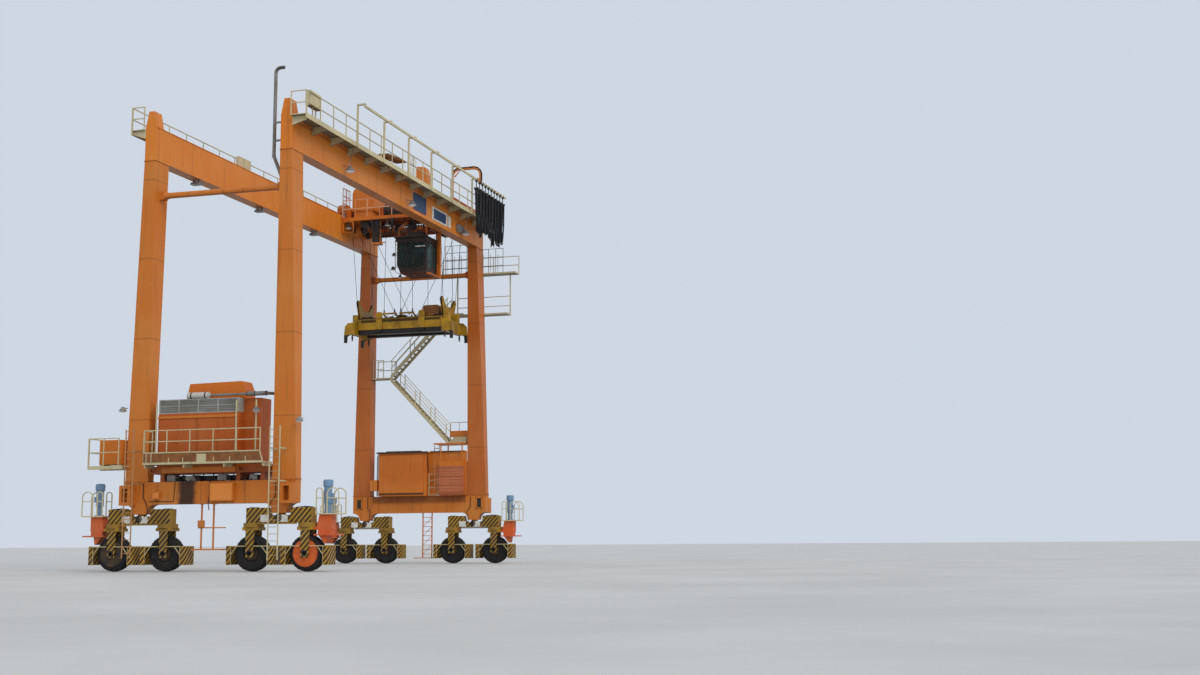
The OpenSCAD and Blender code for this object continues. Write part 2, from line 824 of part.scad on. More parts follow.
module trolley_wheels() {
    wheel_z = rail_top + trolley_wheel_d / 2 + roll_gap;
    color("grey")
        translate([0, trolley_y, 0])
            for (sx = [-1, 1])
                for (y = [-trolley_wheels_y, trolley_wheels_y])
                    translate([sx * girder_x, y, wheel_z]) {
                        rod_x(-50, 50, trolley_wheel_d);
                        rod_x(-carriage_w / 2, carriage_w / 2, 120);
                    }
}

module hoist_machinery() {
    drum_y = -200;
    drum_z = deck_z + 760;
    color("dimgrey")
        translate([0, trolley_y, 0]) {
            rod_x(-1300, 1300, 640, drum_y, drum_z);
            for (x = [-1280, -20, 1240])
                rod_x(x, x + 40, 840, drum_y, drum_z);
            for (x = [-1500, 1300]) {
                box([x, -1300, deck_z], [x + 200, 1300, deck_z + 260]);
                plate_yz([[drum_y - 480, deck_z + 260], [drum_y + 480, deck_z + 260],
                          [drum_y + 200, drum_z + 260], [drum_y - 200, drum_z + 260]],
                         x, x + 200);
            }
            plate_yz([[-420, deck_z + 320], [1180, deck_z + 320], [1180, deck_z + 900],
                      [980, deck_z + 1020], [-220, deck_z + 1020], [-420, deck_z + 900]],
                     1500, 1900);
            box([1900, -1300, deck_z], [2060, 1300, deck_z + 260]);
            box([1500, -420, deck_z + 200], [1900, 1180, deck_z + 320]);
            rod_x(420, 1500, 460, 900, deck_z + 620);
            rod_x(300, 420, 500, 900, deck_z + 620);
            box([520, 700, deck_z + 260], [1400, 1100, deck_z + 400]);
        }
}

module machinery_hood() {
    x0 = -deck_x + 160;
    x1 = -1600;
    color("darkorange")
        translate([0, trolley_y, 0]) {
            box([x0 + 100, -1250, deck_z], [x1 - 100, 1250, deck_z + 600]);
            plate_xz([[x0, deck_z + 600], [x1, deck_z + 600], [x1, deck_z + 1700],
                      [x1 - 90, deck_z + 1920], [x1 - 330, deck_z + 2040],
                      [x0 + 330, deck_z + 2040], [x0 + 90, deck_z + 1920],
                      [x0, deck_z + 1700]],
                     -1300, 1300);
            plate_xz([[1300, deck_z], [2080, deck_z], [2080, deck_z + 2250],
                      [1900, deck_z + 2800], [1350, deck_z + 2850], [1300, deck_z + 2800]],
                     -1950, -1350);
        }
}

// Cab: a shell with windows all round, hung under the trolley
module operator_cab() {
    w = cab_w / 2;
    l = cab_l / 2;
    in = w - cab_wall;
    color("dimgrey")
        translate([cab_x, cab_y, cab_floor]) {
            difference() {
                plate_xz([[cab_rake - w, 0], [w, 0], [w, cab_h], [-w, cab_h], [-w, cab_sill]],
                         -l, l);
                plate_xz([[cab_rake - in, cab_wall], [in, cab_wall], [in, cab_h - cab_wall],
                          [-in, cab_h - cab_wall], [-in, cab_sill + 10]],
                         cab_wall - l, l - cab_wall);
                plate_xz(cab_window(), -cab_l, cab_l);
                box([-cab_w, 120 - l, cab_sill + 100], [0, l - 120, cab_h - 300]);
                box([0, 120 - l, 300], [cab_w, l - 120, cab_h - 300]);
            }
            box([-450, -450, cab_h], [500, 350, cab_h + 380]);
        }
}

// Outline of the side windows of the cab
function cab_window() = [[cab_rake - cab_w / 2 + 40, 300], [cab_w / 2 - 120, 300],
    [cab_w / 2 - 120, cab_h - 300], [120 - cab_w / 2, cab_h - 300], [120 - cab_w / 2, cab_sill + 80]];

module cab_glass() {
    w = cab_w / 2 - 25;
    l = cab_l / 2 - 25;
    color("teal")
        translate([cab_x, cab_y, cab_floor]) {
            for (s = [-1, 1])
                plate_xz(cab_window(), s * l - 6, s * l + 6);
            box([-w - 6, 120 - cab_l / 2, cab_sill + 100],
                [6 - w, cab_l / 2 - 120, cab_h - 300]);
            box([w - 6, 120 - cab_l / 2, 300], [w + 6, cab_l / 2 - 120, cab_h - 300]);
        }
}

// Towing arm from the trolley over the walkway to the festoon track
module festoon_arm() {
    arm_z = track_z + 660;
    end_x = track_x + 120;
    r = 400;
    d = 100;
    color("darkorange")
        translate([0, trolley_y - 1450, 0]) {
            translate([girder_x, 0, carriage_z1])
                cylinder(h = arm_z - r - carriage_z1, d = d);
            box([girder_x - 120, -120, carriage_z1], [girder_x + 120, 120, carriage_z1 + 20]);
            translate([girder_x + r, 0, arm_z - r])
                mirror([1, 0, 0])
                    bend(r, d);
            rod_x(girder_x + r, end_x - r, d, 0, arm_z);
            translate([end_x - r, 0, arm_z - r])
                bend(r, d);
            translate([end_x, 0, track_z - 200])
                cylinder(h = arm_z - r - track_z + 200, d = d);
        }
}

// Hoist ropes from the trolley to the spreader's sheave blocks
module hoist_ropes() {
    top = deck_z - deck_t;
    color("black")
        translate([0, trolley_y, 0])
            for (sx = [-1, 1])
                for (sy = [-1, 1])
                    intersection() {
                        union() {
                            bar_between([sx * 3020, sy * rope_y, top + 100],
                                        [sx * sheave_x, sy * rope_y, sheave_z - 100], rope_d);
                            bar_between([sx * 840, sy * rope_y, top + 100],
                                        [sx * 900, sy * rope_y, rope_low - 100], rope_d);
                            bar_between([sx * 2850, sy * (rope_y + 70), top + 100],
                                        [sx * 200, sy * (rope_y + 70), rope_low - 100], rope_d);
                        }
                        union() {
                            box([-4000, -2000, sheave_z], [4000, 2000, top]);
                            box([-sheave_x + 200, -2000, rope_low], [sheave_x - 200, 2000, top]);
                        }
                    }
}

// Spreader: two rectangular sleeves with sliding pads, joined by cross members
module spreader_frame() {
    color("gold")
        translate([0, trolley_y, spreader_z]) {
            for (s = [-1, 1])
                translate([0, s * sleeve_y, 0]) {
                    difference() {
                        box([-sleeve_l / 2, -sleeve_w / 2, tray_h],
                            [sleeve_l / 2, sleeve_w / 2, sleeve_top]);
                        box([-sleeve_l, -sleeve_w / 2 + sleeve_wall, tray_h + sleeve_wall],
                            [sleeve_l, sleeve_w / 2 - sleeve_wall, sleeve_top - sleeve_wall]);
                    }
                    for (x = [-sleeve_l / 2, sleeve_l / 2 - 200])
                        box([x, -sleeve_w / 2 + sleeve_wall, tray_h + sleeve_wall],
                            [x + 200, sleeve_w / 2 - sleeve_wall,
                             tray_h + sleeve_wall + arm_gap - pad_gap]);
                    box([-sleeve_l / 2, -sleeve_w / 2 - 30, sleeve_top],
                        [sleeve_l / 2, sleeve_w / 2 + 30, sleeve_top + 30]);
                    box([-sleeve_l / 2 + 40, -sleeve_w / 2 + 40, -tray_drop],
                        [sleeve_l / 2 - 40, sleeve_w / 2 - 40, tray_h]);
                }
            for (x = [99 - sleeve_l / 2, -1300, 1100, sleeve_l / 2 - 299])
                box([x - 100, -sleeve_y + sleeve_w / 2, tray_h + 80],
                    [x + 100, sleeve_y - sleeve_w / 2, sleeve_top - 80]);
            for (sx = [-1, 1])
                for (sy = [0, 1])
                    mirror([0, sy, 0])
                        collar(sx * 1340);
        }
}

// Collar: a lug plate on the outer face of a sleeve, rounded at the top
module collar(x) {
    face = -sleeve_y - sleeve_w / 2;
    translate([x, 0, 0])
        plate_xz([[-150, 60], [150, 60], [190, 110], [190, post_h], [110, post_h + 110],
                  [-110, post_h + 110], [-190, post_h], [-190, 110]],
                 face - 60, face);
    box([x - 110, face - 60, sleeve_top + 30], [x + 110, face + cap_d, sleeve_top + 150]);
}

// Sheave towers and rope anchors on the spreader
module sheave_towers() {
    seat = spreader_top + 30;
    pack_y = cap_d + 10 - sleeve_y - sleeve_w / 2;
    color("gold")
        translate([0, trolley_y, 0]) {
            for (sx = [-1, 1]) {
                translate([sx * sheave_x, 0, 0])
                    sheave_yoke(seat);
                for (sy = [-1, 1]) {
                    box([sx * 550 - 450, sy * (rope_y + 35) - 75, rope_low - 80],
                        [sx * 550 + 450, sy * (rope_y + 35) + 75, rope_low]);
                    for (x = [-420, 340])
                        plate_yz([[sy * 500, seat], [sy * 760, seat],
                                  [sy * (rope_y + 110), rope_low - 80],
                                  [sy * (rope_y - 130), rope_low - 80]],
                                 sx * 550 + x, sx * 550 + x + 80);
                }
            }
            plate_xz([[1320, seat + 90], [2330, seat + 90], [2330, seat + 560],
                      [2230, seat + 660], [1420, seat + 660], [1320, seat + 560]],
                     pack_y, pack_y + 1000);
            for (x = [1400, 2150])
                for (y = [pack_y + 60, 580])
                    box([x, y - 60, seat], [x + 100, y + 60, seat + 90]);
            box([1320, pack_y, seat + 50], [2330, 640, seat + 90]);
        }
}

// Yoke across the sleeves: two plates, with a grooved sheave at each end
module sheave_yoke(seat) {
    notch = sheave_z - 340;
    for (x = [-72, 48])
        translate([x, 0, 0])
            rotate([90, 0, 90])
                linear_extrude(24) {
                    polygon([[-760, seat], [760, seat], [sheave_y + 150, sheave_z],
                             [sheave_y - 150, sheave_z], [430, notch], [-430, notch],
                             [150 - sheave_y, sheave_z], [-sheave_y - 150, sheave_z]]);
                    for (s = [-1, 1])
                        translate([s * sheave_y, sheave_z])
                            circle(r = 150);
                }
    box([-60, -700, seat], [60, 700, seat + 60]);
    for (s = [-1, 1])
        translate([0, s * sheave_y, sheave_z])
            rotate([0, 90, 0]) {
                cylinder(h = 240, d = 90, center = true);
                rotate_extrude()
                    polygon([[0, -42], [sheave_d / 2, -42], [sheave_d / 2, -30],
                             [sheave_d / 2 - 28, -10], [sheave_d / 2 - 28, 10],
                             [sheave_d / 2, 30], [sheave_d / 2, 42], [0, 42]]);
            }
}

// Extension: two arms that slide in the sleeves and carry the end beam
module extension(side) {
    arm_z = tray_h + sleeve_wall + arm_gap;
    end_x = -spreader_l / 2;
    color("gold")
        translate([0, trolley_y, spreader_z])
            mirror([side > 0 ? 1 : 0, 0, 0]) {
                for (s = [-1, 1])
                    translate([0, s * sleeve_y, 0])
                        mirror([0, side > 0 ? 1 : 0, 0])
                            box([end_x + end_beam_w, arm_gap, arm_z],
                                [sleeve_l / 2 - 800, arm_gap + arm_w, arm_z + arm_h]);
                box([end_x, -spreader_w / 2, -80],
                    [end_x + end_beam_w, spreader_w / 2, tray_h + arm_h - 140]);
                for (s = [0, 1])
                    mirror([0, s, 0])
                        extension_corner(end_x);
            }
}

// Corner of an extension: head post, corner guide and twistlock
module extension_corner(end_x) {
    post_y = -sleeve_y - sleeve_w / 2;
    plate_yz([[post_y - 60, 100], [post_y + 380, 100], [post_y + 380, arm_h + tray_h + 60],
              [post_y + 300, post_h - 80], [post_y + 180, post_h], [post_y - 60, post_h]],
             end_x, end_x + end_beam_w);
    plate_xz([[end_x, 620], [end_x - 130, 640], [end_x - 350, 420], [end_x - 390, -60],
              [end_x - 390, -540], [end_x - 240, -540], [end_x - 220, -160], [end_x, -60]],
             -spreader_w / 2, -spreader_w / 2 + 150);
    translate([-lock_x, -lock_y, -190])
        cylinder(h = 110, d = lock_d);
}

module extension_left() { extension(-1); }
module extension_right() { extension(1); }

// Bogie beam: raised ends over the wheels, a slotted waist on the pivot pin
module bogie() {
    color("gold")
        translate([bogie_x, -half, 0]) {
            difference() {
                union() {
                    plate_xz([[-bogie_len / 2, beam_z], [bogie_len / 2, beam_z],
                              [bogie_len / 2, bogie_top], [620, bogie_top],
                              [560, bogie_waist], [-560, bogie_waist],
                              [-620, bogie_top], [-bogie_len / 2, bogie_top]],
                             -bogie_w / 2, bogie_w / 2);
                    for (s = [-1, 1])
                        translate([s * wheel_base / 2, 0, beam_z - ring_h])
                            cylinder(h = ring_h, d = ring_d);
                    rod_y(-bogie_w / 2, bogie_w / 2, 360, 0, pivot_z);
                }
                box([-540, -lug_w / 2 - slot_gap, beam_z + 40],
                    [540, lug_w / 2 + slot_gap, bogie_top + EPS]);
                rod_y(-bogie_w, bogie_w, pivot_d + 2 * pin_gap, 0, pivot_z);
                for (s = [-1, 1])
                    translate([s * wheel_base / 2, 0, beam_z - ring_h - EPS])
                        cylinder(h = ring_h + king_h + EPS, d = king_d + 2 * pin_gap);
            }
            box([-1200, -bogie_w / 2 - 90, beam_z - 60], [900, -bogie_w / 2, beam_z - 10]);
            for (x = [-1000, 700])
                box([x, -bogie_w / 2 - 60, beam_z - 10], [x + 60, -bogie_w / 2, beam_z + 100]);
        }
}

module bogie_a() { at_corner(-1, -1) bogie(); }
module bogie_b() { at_corner(1, -1) bogie(); }
module bogie_c() { at_corner(-1, 1) bogie(); }
module bogie_d() { at_corner(1, 1) bogie(); }

// Wheel fork about its kingpin, with guards before and behind the wheel
module fork() {
    translate([0, 0, crown_top]) {
        cylinder(h = ring_h, d = ring_d);
        cylinder(h = 2 * ring_h + ring_gap + king_h - 20, d = king_d);
    }
    box([-370, -fork_out, crown_top - crown_h], [370, fork_out, crown_top]);
    for (s = [-1, 1])
        difference() {
            plate_xz([[-210, crown_top - crown_h], [210, crown_top - crown_h],
                      [180, tyre_r - 180], [-180, tyre_r - 180]],
                     s * (fork_gap + fork_t) / 2 - fork_t / 2,
                     s * (fork_gap + fork_t) / 2 + fork_t / 2);
            rod_y(-fork_out - EPS, fork_out + EPS, axle_d + 2 * pin_gap, 0, tyre_r);
        }
    for (s = [0, 1])
        mirror([s, 0, 0])
            guard();
}

// Guard: an end plate with returned sides, on two bars with diagonals
module guard() {
    difference() {
        translate([0, 0, guard_z0])
            linear_extrude(guard_z1 - guard_z0)
                polygon([[guard_cut - 230, guard_w], [guard_cut, guard_w],
                         [guard_x, guard_nose], [guard_x, -guard_nose],
                         [guard_cut, -guard_w], [guard_cut - 230, -guard_w]]);
        translate([0, 0, guard_z0 - EPS])
            linear_extrude(guard_z1)
                polygon([[guard_cut - 250, guard_w - guard_t], [guard_cut - 8, guard_w - guard_t],
                         [guard_x - guard_t, guard_nose - 3], [guard_x - guard_t, 3 - guard_nose],
                         [guard_cut - 8, guard_t - guard_w], [guard_cut - 250, guard_t - guard_w]]);
    }
    for (t = [0, 1])
        mirror([0, t, 0]) {
            box([140, fork_out, guard_z1 - bar], [guard_cut - 20, guard_w, guard_z1]);
            plate_xz([[600, guard_z1 - bar], [600 + bar, guard_z1 - bar],
                      [guard_cut - 180, 720], [guard_cut - 180 - bar, 720]],
                     fork_out, guard_w);
        }
}

// Wheel with tyre, rim and axle; the driven ones have a wide sprocket disc
module wheel(driven) {
    translate([0, 0, tyre_r])
        rotate([90, 0, 0]) {
            rotate_extrude($fn = 64)
                polygon([[0, -220], [rim_d / 2, -220], [520, -tyre_w / 2],
                         [tyre_r - 60, -tyre_w / 2], [tyre_r, -tyre_w / 2 + 60],
                         [tyre_r, tyre_w / 2 - 60], [tyre_r - 60, tyre_w / 2],
                         [520, tyre_w / 2], [rim_d / 2, 220], [0, 220]]);
            cylinder(h = 2 * fork_out, d = axle_d, center = true);
            if (driven)
                cylinder(h = fork_gap / 2 - 10, d = 1200);
        }
}

// Drive unit beside an outer fork: gearbox, upright motor and its platform
module drive() {
    color("darkorange") {
        box([370, -230, crown_top - 130], [1180, 230, crown_top - 10]);
        box([560, -230, 1610], [1150, 230, crown_top - 130]);
        plate_xz([[500, crown_top - 10], [1180, crown_top - 10], [1180, 2450], [620, 2450]],
                 -230, 230);
        box([420, -360, 1550], [1500, 360, 1610]);
        plate_xz([[600, 1550], [1000, 1550], [940, 1200], [880, 1200]], -230, 230);
        box([490, -370, 2450], [1600, 370, 2500]);
        for (y = [-370, 370 - bar]) {
            hoop(500, 820, 2500, 3600, y);
            hoop(1010, 1600, 2500, 3600, y);
            for (x = [[500, 820], [1010, 1600]])
                box([x[0] + bar / 2, y, 3130], [x[1] - bar / 2, y + bar, 3130 + bar]);
        }
    }
    color("steelblue")
        drive_motor(900, 2500);
}

// Upright motor: flange, stepped frame and brake cover
module drive_motor(x, z) {
    translate([x, 0, z]) {
        cylinder(h = 40, d = 420);
        cylinder(h = 440, d = 280);
        translate([0, 0, 440])
            cylinder(h = 30, d = 400);
        translate([0, 0, 470])
            cylinder(h = 640, d = 340);
        translate([0, 0, 1110])
            cylinder(h = 60, d1 = 340, d2 = 430);
        translate([0, 0, 1170])
            cylinder(h = 230, d = 430);
        translate([0, 0, 1400])
            cylinder(h = 50, d1 = 430, d2 = 330);
    }
    box([x + 140, -80, z + 620], [x + 250, 80, z + 860]);
}

module wheel_place(sx, sy, outer) {
    at_corner(sx, sy)
        translate([bogie_x + (outer ? 1 : -1) * wheel_base / 2, -half, 0])
            children();
}

module fork_a_inner() { color("gold") wheel_place(-1, -1, false) fork(); }
module fork_a_outer() { color("gold") wheel_place(-1, -1, true) fork(); }
module fork_b_inner() { color("gold") wheel_place(1, -1, false) fork(); }
module fork_b_outer() { color("gold") wheel_place(1, -1, true) fork(); }
module fork_c_inner() { color("gold") wheel_place(-1, 1, false) fork(); }
module fork_c_outer() { color("gold") wheel_place(-1, 1, true) fork(); }
module fork_d_inner() { color("gold") wheel_place(1, 1, false) fork(); }
module fork_d_outer() { color("gold") wheel_place(1, 1, true) fork(); }
module drive_a() { wheel_place(-1, -1, true) drive(); }
module drive_b() { wheel_place(1, -1, true) drive(); }
module drive_c() { wheel_place(-1, 1, true) drive(); }
module drive_d() { wheel_place(1, 1, true) drive(); }
module wheel_a_inner() { color("black") wheel_place(-1, -1, false) wheel(false); }
module wheel_a_outer() { color("black") wheel_place(-1, -1, true) wheel(true); }
module wheel_b_inner() { color("black") wheel_place(1, -1, false) wheel(false); }
module wheel_b_outer() { color("black") wheel_place(1, -1, true) wheel(true); }
module wheel_c_inner() { color("black") wheel_place(-1, 1, false) wheel(false); }
module wheel_c_outer() { color("black") wheel_place(-1, 1, true) wheel(true); }
module wheel_d_inner() { color("black") wheel_place(1, 1, false) wheel(false); }
module wheel_d_outer() { color("black") wheel_place(1, 1, true) wheel(true); }

leg_a();
leg_b();
leg_c();
leg_d();
girder_left();
girder_right();
sill_near();
sill_far();
cross_ties();
walkway_left();
walkway_right();
festoon_track();
festoon_cables();
engine_house();
radiator_band();
exhaust_stack();
engine_walkway();
access_ladders();
service_cradle();
electric_house();
control_cabinet();
far_stair();
floodlights();
trolley_frame();
trolley_wheels();
hoist_machinery();
machinery_hood();
operator_cab();
cab_glass();
festoon_arm();
hoist_ropes();
spreader_frame();
sheave_towers();
extension_left();
extension_right();
bogie_a();
bogie_b();
bogie_c();
bogie_d();
fork_a_inner();
fork_a_outer();
fork_b_inner();
fork_b_outer();
fork_c_inner();
fork_c_outer();
fork_d_inner();
fork_d_outer();
drive_a();
drive_b();
drive_c();
drive_d();
wheel_a_inner();
wheel_a_outer();
wheel_b_inner();
wheel_b_outer();
wheel_c_inner();
wheel_c_outer();
wheel_d_inner();
wheel_d_outer();
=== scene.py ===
"""Looks of a rubber tyred gantry crane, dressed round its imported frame. Metres, +Z up, X along the travel."""

import math
import random
from functools import cached_property

import bpy
from mathutils import Matrix, Vector


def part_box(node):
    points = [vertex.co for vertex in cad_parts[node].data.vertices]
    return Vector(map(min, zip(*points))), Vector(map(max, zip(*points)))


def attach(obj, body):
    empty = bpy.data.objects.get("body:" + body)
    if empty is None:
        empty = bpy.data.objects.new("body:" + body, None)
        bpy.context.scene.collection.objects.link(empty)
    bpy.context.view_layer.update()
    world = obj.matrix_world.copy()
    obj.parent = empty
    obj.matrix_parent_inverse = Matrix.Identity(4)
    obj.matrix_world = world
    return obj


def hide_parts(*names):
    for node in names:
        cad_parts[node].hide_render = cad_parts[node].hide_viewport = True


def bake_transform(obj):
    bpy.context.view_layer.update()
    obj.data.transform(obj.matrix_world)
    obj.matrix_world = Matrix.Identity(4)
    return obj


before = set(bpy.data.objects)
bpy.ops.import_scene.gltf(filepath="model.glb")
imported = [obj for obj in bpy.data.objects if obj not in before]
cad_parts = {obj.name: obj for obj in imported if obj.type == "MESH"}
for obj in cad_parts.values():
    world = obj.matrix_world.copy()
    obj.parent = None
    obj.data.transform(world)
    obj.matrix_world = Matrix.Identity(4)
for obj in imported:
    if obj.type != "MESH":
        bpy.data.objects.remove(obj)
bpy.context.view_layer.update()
random.seed(7)

# Camera: eye, direction and lens of the reference view
EYE = Vector((34.649, -69.559, 1.177))
YAW = -0.2803
PITCH = 0.13943
ROLL = -0.00629
IMAGE_WIDTH = 1200
FOCAL_PIXELS = 1459.6
SENSOR = 36.0

# Corners of the portal: name to the signs of X and Y
CORNERS = {"a": (-1, -1), "b": (1, -1), "c": (-1, 1), "d": (1, 1)}
PLACES = {"inner": -1, "outer": 1}
SIDES = (-1, 1)

# Levels and places of the portal, the running gear, the trolley and the spreader
HALF = 11.735
BOGIE_X = 3.475
BOGIE_HALF_W = 0.265
BOGIE_TOP = 2.77
PIVOT_Z = 2.33
WHEEL_HALF = 1.325
TYRE_R = 0.8
AXLE_HALF = 0.36
MOTOR_OUT = 0.9
SILL_LOW = 2.975
SILL_TOP = 4.0
SILL_HALF_W = 0.225
LADDER_B_X = 3.54
HOUSE_X0 = -2.65
HOUSE_FRONT = -HALF - 0.245
WALKWAY_FRONT = -12.73
BAND_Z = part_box("radiator_band")[0].z
WEB_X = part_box("girder_right")[1].x - 0.025
RAIL_X = 3.483
TRACK_X = 5.041
TRACK_Z = 22.09
FESTOON_Y0 = 7.65
FESTOON_Y1 = 12.1
TROLLEY_Y = 9.35
DECK = 20.15
DECK_LOW = 19.95
ROPE_X = 3.02
ROPE_Y = 1.15
SHEAVE_X = 2.65
SHEAVE_Y = 0.941
SHEAVE_Z = 15.245
SHEAVE_R = 0.195
SLEEVE_TOP = 14.341

# Screen colours, 0 to 255
RUST = (98, 48, 26)
# Grime, also used as painted shade on faces that point down
GRIME_AND_SHADE = (58, 44, 34)
DUST = (150, 130, 105)
ORANGE = (204, 113, 28)
ORANGE_FADED = (206, 124, 46)
ORANGE_DEEP = (180, 86, 20)
ORANGE_DEEP_FADED = (186, 100, 42)
CREAM = (205, 192, 152)
CREAM_FADED = (186, 174, 138)
YELLOW = (186, 140, 12)
YELLOW_DIRTY = (150, 113, 24)
BLACK_PAINT = (32, 30, 27)
# Black grease, also used as painted shade under the spreader sleeve
BLACK_GREASE_AND_SHADE = (30, 26, 22)


def screen(colour):
    """A screen colour in the linear values that Blender uses."""
    shares = [value / 255 for value in colour]
    return (*[v / 12.92 if v <= 0.04045 else ((v + 0.055) / 1.055) ** 2.4 for v in shares], 1.0)


def make_camera():
    forward = Vector((math.sin(YAW) * math.cos(PITCH), math.cos(YAW) * math.cos(PITCH), math.sin(PITCH)))
    level = Vector((math.cos(YAW), -math.sin(YAW), 0))
    raised = level.cross(forward)
    right = math.cos(ROLL) * level + math.sin(ROLL) * raised
    up = math.cos(ROLL) * raised - math.sin(ROLL) * level
    data = bpy.data.cameras.new("camera")
    data.sensor_width = SENSOR
    data.lens = SENSOR * FOCAL_PIXELS / IMAGE_WIDTH
    data.clip_end = 2000
    camera = bpy.data.objects.new("camera", data)
    bpy.context.scene.collection.objects.link(camera)
    turn = Matrix((right, up, -forward)).transposed().to_4x4()
    camera.matrix_world = Matrix.Translation(EYE) @ turn
    bpy.context.scene.camera = camera


make_camera()
bpy.context.scene.view_settings.view_transform = "Standard"


class Number:
    """A socket that takes part in sums: each sign makes one Math node."""

    def __init__(self, paint, socket):
        self.paint = paint
        self.socket = socket

    def __add__(self, other):
        return self.paint.math("ADD", self, other)

    def __sub__(self, other):
        return self.paint.math("SUBTRACT", self, other)

    def __rsub__(self, other):
        return self.paint.math("SUBTRACT", other, self)

    def __mul__(self, other):
        return self.paint.math("MULTIPLY", self, other)

    def __truediv__(self, other):
        return self.paint.math("DIVIDE", self, other)

    def __gt__(self, other):
        return self.paint.math("GREATER_THAN", self, other)

    def __lt__(self, other):
        return self.paint.math("LESS_THAN", self, other)

    def __abs__(self):
        return self.paint.math("ABSOLUTE", self)


class Paint:
    """A material under construction: its colour, roughness and normal, and calls that make nodes."""

    def __init__(self, name, colour):
        self.material = bpy.data.materials.new(name)
        self.material.use_nodes = True
        self.tree = self.material.node_tree
        self.coords = self.tree.nodes.new("ShaderNodeTexCoord")
        self.place = self.coords.outputs["Object"]
        self.colour = screen(colour)
        self.roughness = 0.5
        self.normal = None
        self.metallic = 0.0
        self.coat = 0.0

    @cached_property
    def axes(self):
        return self.split(self.place)

    @cached_property
    def facing(self):
        return self.split(self.coords.outputs["Normal"])

    def feed(self, socket, value):
        value = getattr(value, "socket", value)
        if isinstance(value, bpy.types.NodeSocket):
            self.tree.links.new(value, socket)
        else:
            socket.default_value = value

    def node(self, kind, inputs, **settings):
        made = self.tree.nodes.new(kind)
        for key, value in settings.items():
            setattr(made, key, value)
        for key, value in inputs.items():
            self.feed(made.inputs[key], value)
        return made

    def split(self, vector):
        return [Number(self, out) for out in self.node("ShaderNodeSeparateXYZ", {0: vector}).outputs]

    def math(self, operation, first, second=0.0):
        made = self.node("ShaderNodeMath", {0: first, 1: second}, operation=operation)
        return Number(self, made.outputs[0])

    def stretched(self, scale):
        return self.node("ShaderNodeVectorMath", {0: self.place, 1: scale}, operation="MULTIPLY").outputs[0]

    def noise(self, scale, detail=4.0, vector=None, rough=0.55):
        inputs = {"Vector": vector or self.place, "Scale": scale, "Detail": detail, "Roughness": rough}
        return Number(self, self.node("ShaderNodeTexNoise", inputs).outputs["Fac"])

    def band(self, value, low, high):
        """0 below low, 1 above high, smooth between."""
        inputs = {"Value": value, "From Min": low, "From Max": high}
        made = self.node("ShaderNodeMapRange", inputs, interpolation_type="SMOOTHSTEP")
        return Number(self, made.outputs[0])

    def share(self, value, pitch, offset):
        """The part of a pitch by which value is past the last whole one."""
        return self.math("FRACT", (value + offset) / pitch)

    def lines(self, value, pitch, width, offset=0.0):
        """1 on lines of the given width, one every pitch along value."""
        away = abs(self.share(value, pitch, offset + 1000 * pitch) - 0.5)
        return self.band(away, 0.5 - width / pitch, 0.5 - 0.4 * width / pitch)

    def tint(self, factor, colour):
        """Lays another colour over what is there."""
        made = self.node("ShaderNodeMix", {0: factor}, data_type="RGBA")
        colour_a, colour_b, colour_out = 6, 7, 2
        self.feed(made.inputs[colour_a], self.colour)
        self.feed(made.inputs[colour_b], screen(colour))
        self.colour = made.outputs[colour_out]

    def bump(self, height, strength, distance):
        inputs = {"Height": height, "Strength": strength, "Distance": distance}
        if self.normal is not None:
            inputs["Normal"] = self.normal
        self.normal = self.node("ShaderNodeBump", inputs).outputs[0]

    def finish(self):
        inputs = self.tree.nodes["Principled BSDF"].inputs
        self.feed(inputs["Base Color"], self.colour)
        self.feed(inputs["Roughness"], self.roughness)
        inputs["Metallic"].default_value = self.metallic
        inputs["Coat Weight"].default_value = self.coat
        if self.metallic < 0.15:
            inputs["Specular IOR Level"].default_value = 0.35
        if self.normal is not None:
            self.feed(inputs["Normal"], self.normal)
        return self.material


def weathered(name, base, faded, wear=1.0, seams=None, low_dust=True):
    """Paint that fades in patches, with rain streaks, rust specks and dust, painted shade on faces that point
    down, and weld seams across it.
    """
    paint = Paint(name, base)
    streaks = paint.noise(1.0, 5.0, paint.stretched((5.0, 5.0, 0.35)), 0.65)
    paint.tint(paint.band(paint.noise(0.35, 3.0), 0.35, 0.7), faded)
    paint.tint(paint.band(streaks, 0.52, 0.82) * (0.4 * wear), GRIME_AND_SHADE)
    paint.tint(paint.band(paint.noise(9.0, 6.0, None, 0.7), 0.66, 0.76) * (0.8 * wear), RUST)
    if low_dust:
        low = (1 - paint.band(paint.axes[2], 0.4, 4.2)) * 0.35
        paint.tint(low * paint.band(paint.noise(1.6), 0.3, 0.7), DUST)
    # Painted shade: faces that point down are darkened.
    paint.tint(paint.band(paint.facing[2] * -1.0, 0.5, 0.9) * 0.55, GRIME_AND_SHADE)
    paint.bump(paint.noise(0.9, 2.0) * 0.6 + paint.noise(60.0, 2.0) * 0.02, 0.25, 0.02)
    if seams is not None:
        axis, pitch, offset = seams
        line = paint.lines(paint.axes["xyz".index(axis)], pitch, 0.03, offset)
        paint.tint(line * 0.35, GRIME_AND_SHADE)
        paint.bump(line, 0.6, 0.012)
    paint.roughness = streaks * 0.28 + 0.38
    return paint


def orange_paint(name="orange_paint", seams=None, wear=1.0, base=ORANGE, faded=ORANGE_FADED):
    paint = weathered(name, base, faded, wear, seams)
    paint.coat = 0.1
    return paint


